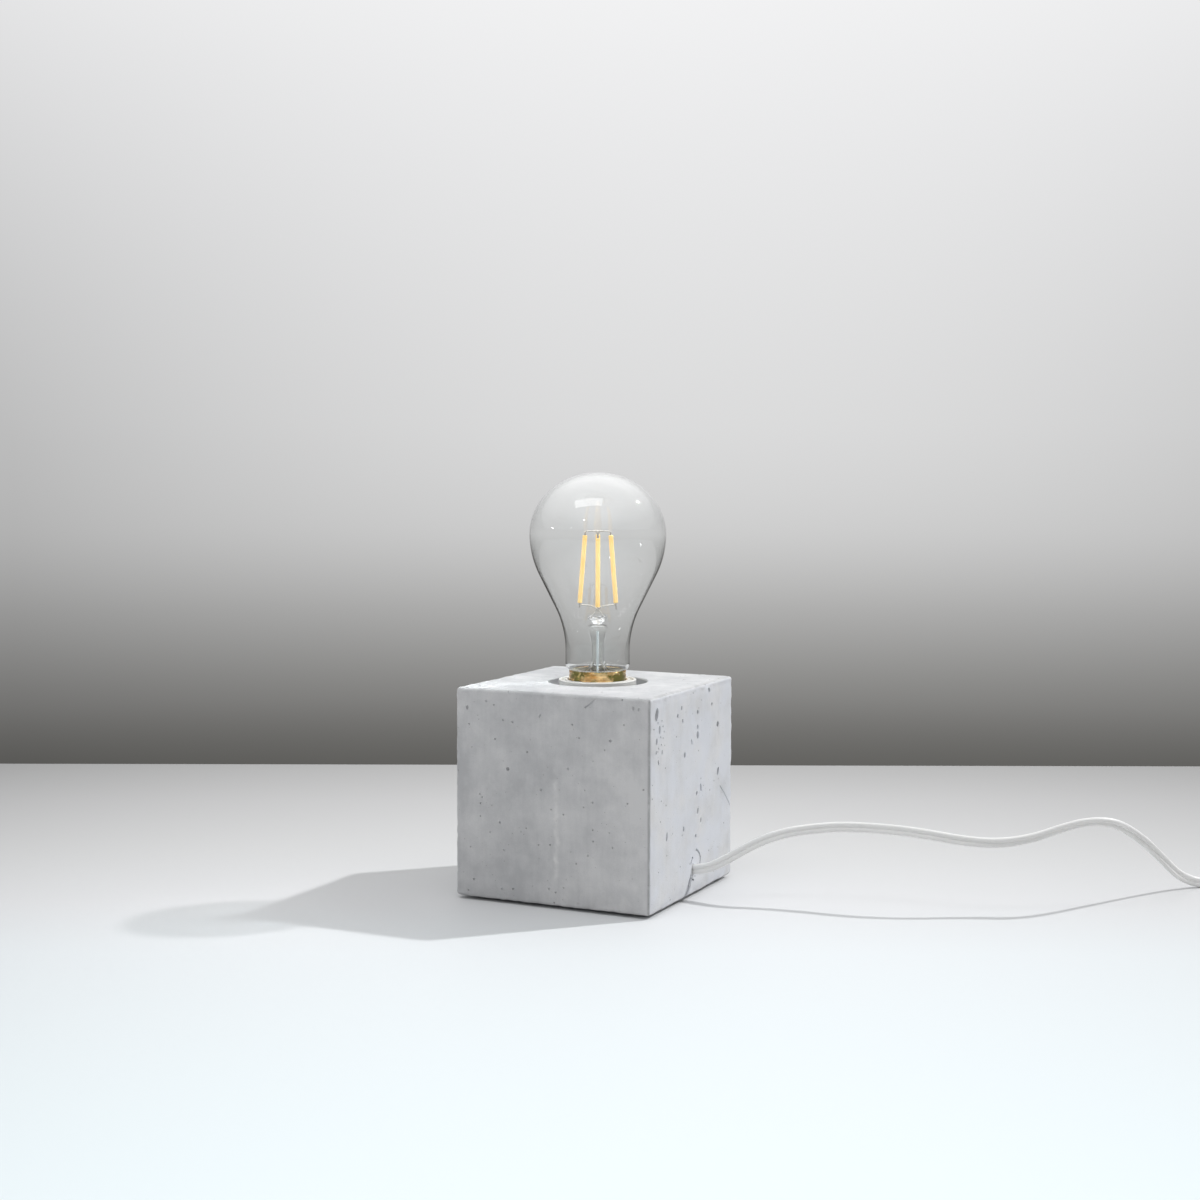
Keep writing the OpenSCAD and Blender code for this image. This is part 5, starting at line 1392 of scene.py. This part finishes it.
# %% Plug and relief
RELIEF_LEN, PLUG_LEN, PIN_GAP = 22, 33, 19
x0, x1 = RELIEF_LEN, RELIEF_LEN + PLUG_LEN
STATIONS = [(x0, 6.6, 5.6), (x0 + 7.5, 9.4, 6.1), (x0 + 0.45 * PLUG_LEN, 12.7, 6.4),
            (x1 - 12, 15.8, 6.7), (x1 - 6, 17.65, 6.85), (x1, 17.65, 6.85)]  # x, half width, half height
plug = bisect_at(box("plug_shell", (x0, -1, -1), (x1, 1, 1)), *(x for x, _, _ in STATIONS[1:-1]))
for x, wide, thick in STATIONS:
    edit(plug, "VERT", lambda v: abs(v.co.x / MM - x) < 0.1, bpy.ops.transform.resize,
         value=(1, wide, thick), center_override=(x * MM, 0, 0))
bevel_where(plug, 3.3, 6, lambda a, b: abs(a.x - b.x) > 1)
bevel_where(plug, 0.9, 3, lambda a, b: abs(a.x - b.x) < 0.01 and not x0 + 0.1 < a.x < x1 - 0.1)
for y in (PIN_GAP / 2, -PIN_GAP / 2):
    cut_away(plug, bar("pin_hole", (x1 - 9, y, 0), (x1 + 1, y, 0), round_outline(2.01, 40)))
set_down(smooth(plug, 30), relief_in, TAIL_HEADING, PLUG_Z)
rider(plug, "root", "switch_white", "plug_body")

RIB_GAP, RIB_HALF, RELIEF_R, RELIEF_END_R = 4.4, 0.6, 3.6, 5.4
slope = (RELIEF_END_R - RELIEF_R) / RELIEF_LEN
ribs = [(0, 0), (RELIEF_R, 0)]
for i in range(1, 5):
    a, b = i * RIB_GAP - RIB_HALF, i * RIB_GAP + RIB_HALF
    ribs += [(RELIEF_R + a * slope, a), (3.25, a + 0.15), (3.25, b - 0.15), (RELIEF_R + b * slope, b)]
relief = turned("relief", ribs + [(RELIEF_END_R, RELIEF_LEN), (0, RELIEF_LEN)], 64)
soften(relief, 0.2, 2, 50)
relief.rotation_euler = (0, math.radians(90), 0)
set_down(smooth(keep_place(relief), 45), relief_in, TAIL_HEADING, PLUG_Z)
rider(relief, "root", "cord_sheath", "plug_relief")

# %% Band round the coil
BAND_W, BAND_T, BAND_GAP = 8, 0.6, 0.5
band_in = COIL_R - CORD_T / 2 - BAND_GAP
band_out = COIL_R + COIL_PITCH * COIL_TURNS + CORD_T / 2 + BAND_GAP
band_high = COIL_LIFT + CORD_W + 0.4 + 2 * BAND_T


def band(name, half, x0, x1, z0, z1, radius):
    """A box over the coil, rounded along its length."""
    return bevel_where(box(name, (x0, -half, z0), (x1, half, z1)), radius, 5,
                       lambda a, b: abs(a.x - b.x) < 0.01 and abs(a.z - b.z) < 0.01)


tie = cut_away(band("tie", BAND_W / 2, band_in - BAND_T, band_out + BAND_T, 0, band_high, 2.0),
               band("opening", BAND_W, band_in, band_out, BAND_T, band_high - BAND_T, 1.4))
set_down(smooth(tie, 40), coil_mid, COIL_START + 135)
rider(tie, "root", "tie_band", "cord_tie")

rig.cord(cord_front, exit=CORD_EXIT, length=round(length_of(front_path), 3),
        diameter=CORD_W * MM, far_end="fitting", stiffness="medium", lay="loose", path=front_path,
        with_pieces=["switch_base", "switch_top", "rocker", "switch_pin", "switch_bridge",
                     "switch_contacts", "switch_stubs", "switch_live", "switch_neutral",
                     "switch_clamps", "switch_screws"])
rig.cord(cord_rear, exit=rear_path[0], length=round(length_of(rear_path), 3),
        diameter=CORD_W * MM, far_end="plug", stiffness="medium", lay="coiled", path=rear_path,
        with_pieces=["relief", "plug_shell", "plug_pins", "pin_sleeves", "tie"])


# %% Size of the CAD model and of all that is shown, written to extents.json
VISUAL_BOX = [list(corner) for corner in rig.bounds()]
with open("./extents.json", "w") as f:
    json.dump([CAD_BOX, VISUAL_BOX], f)
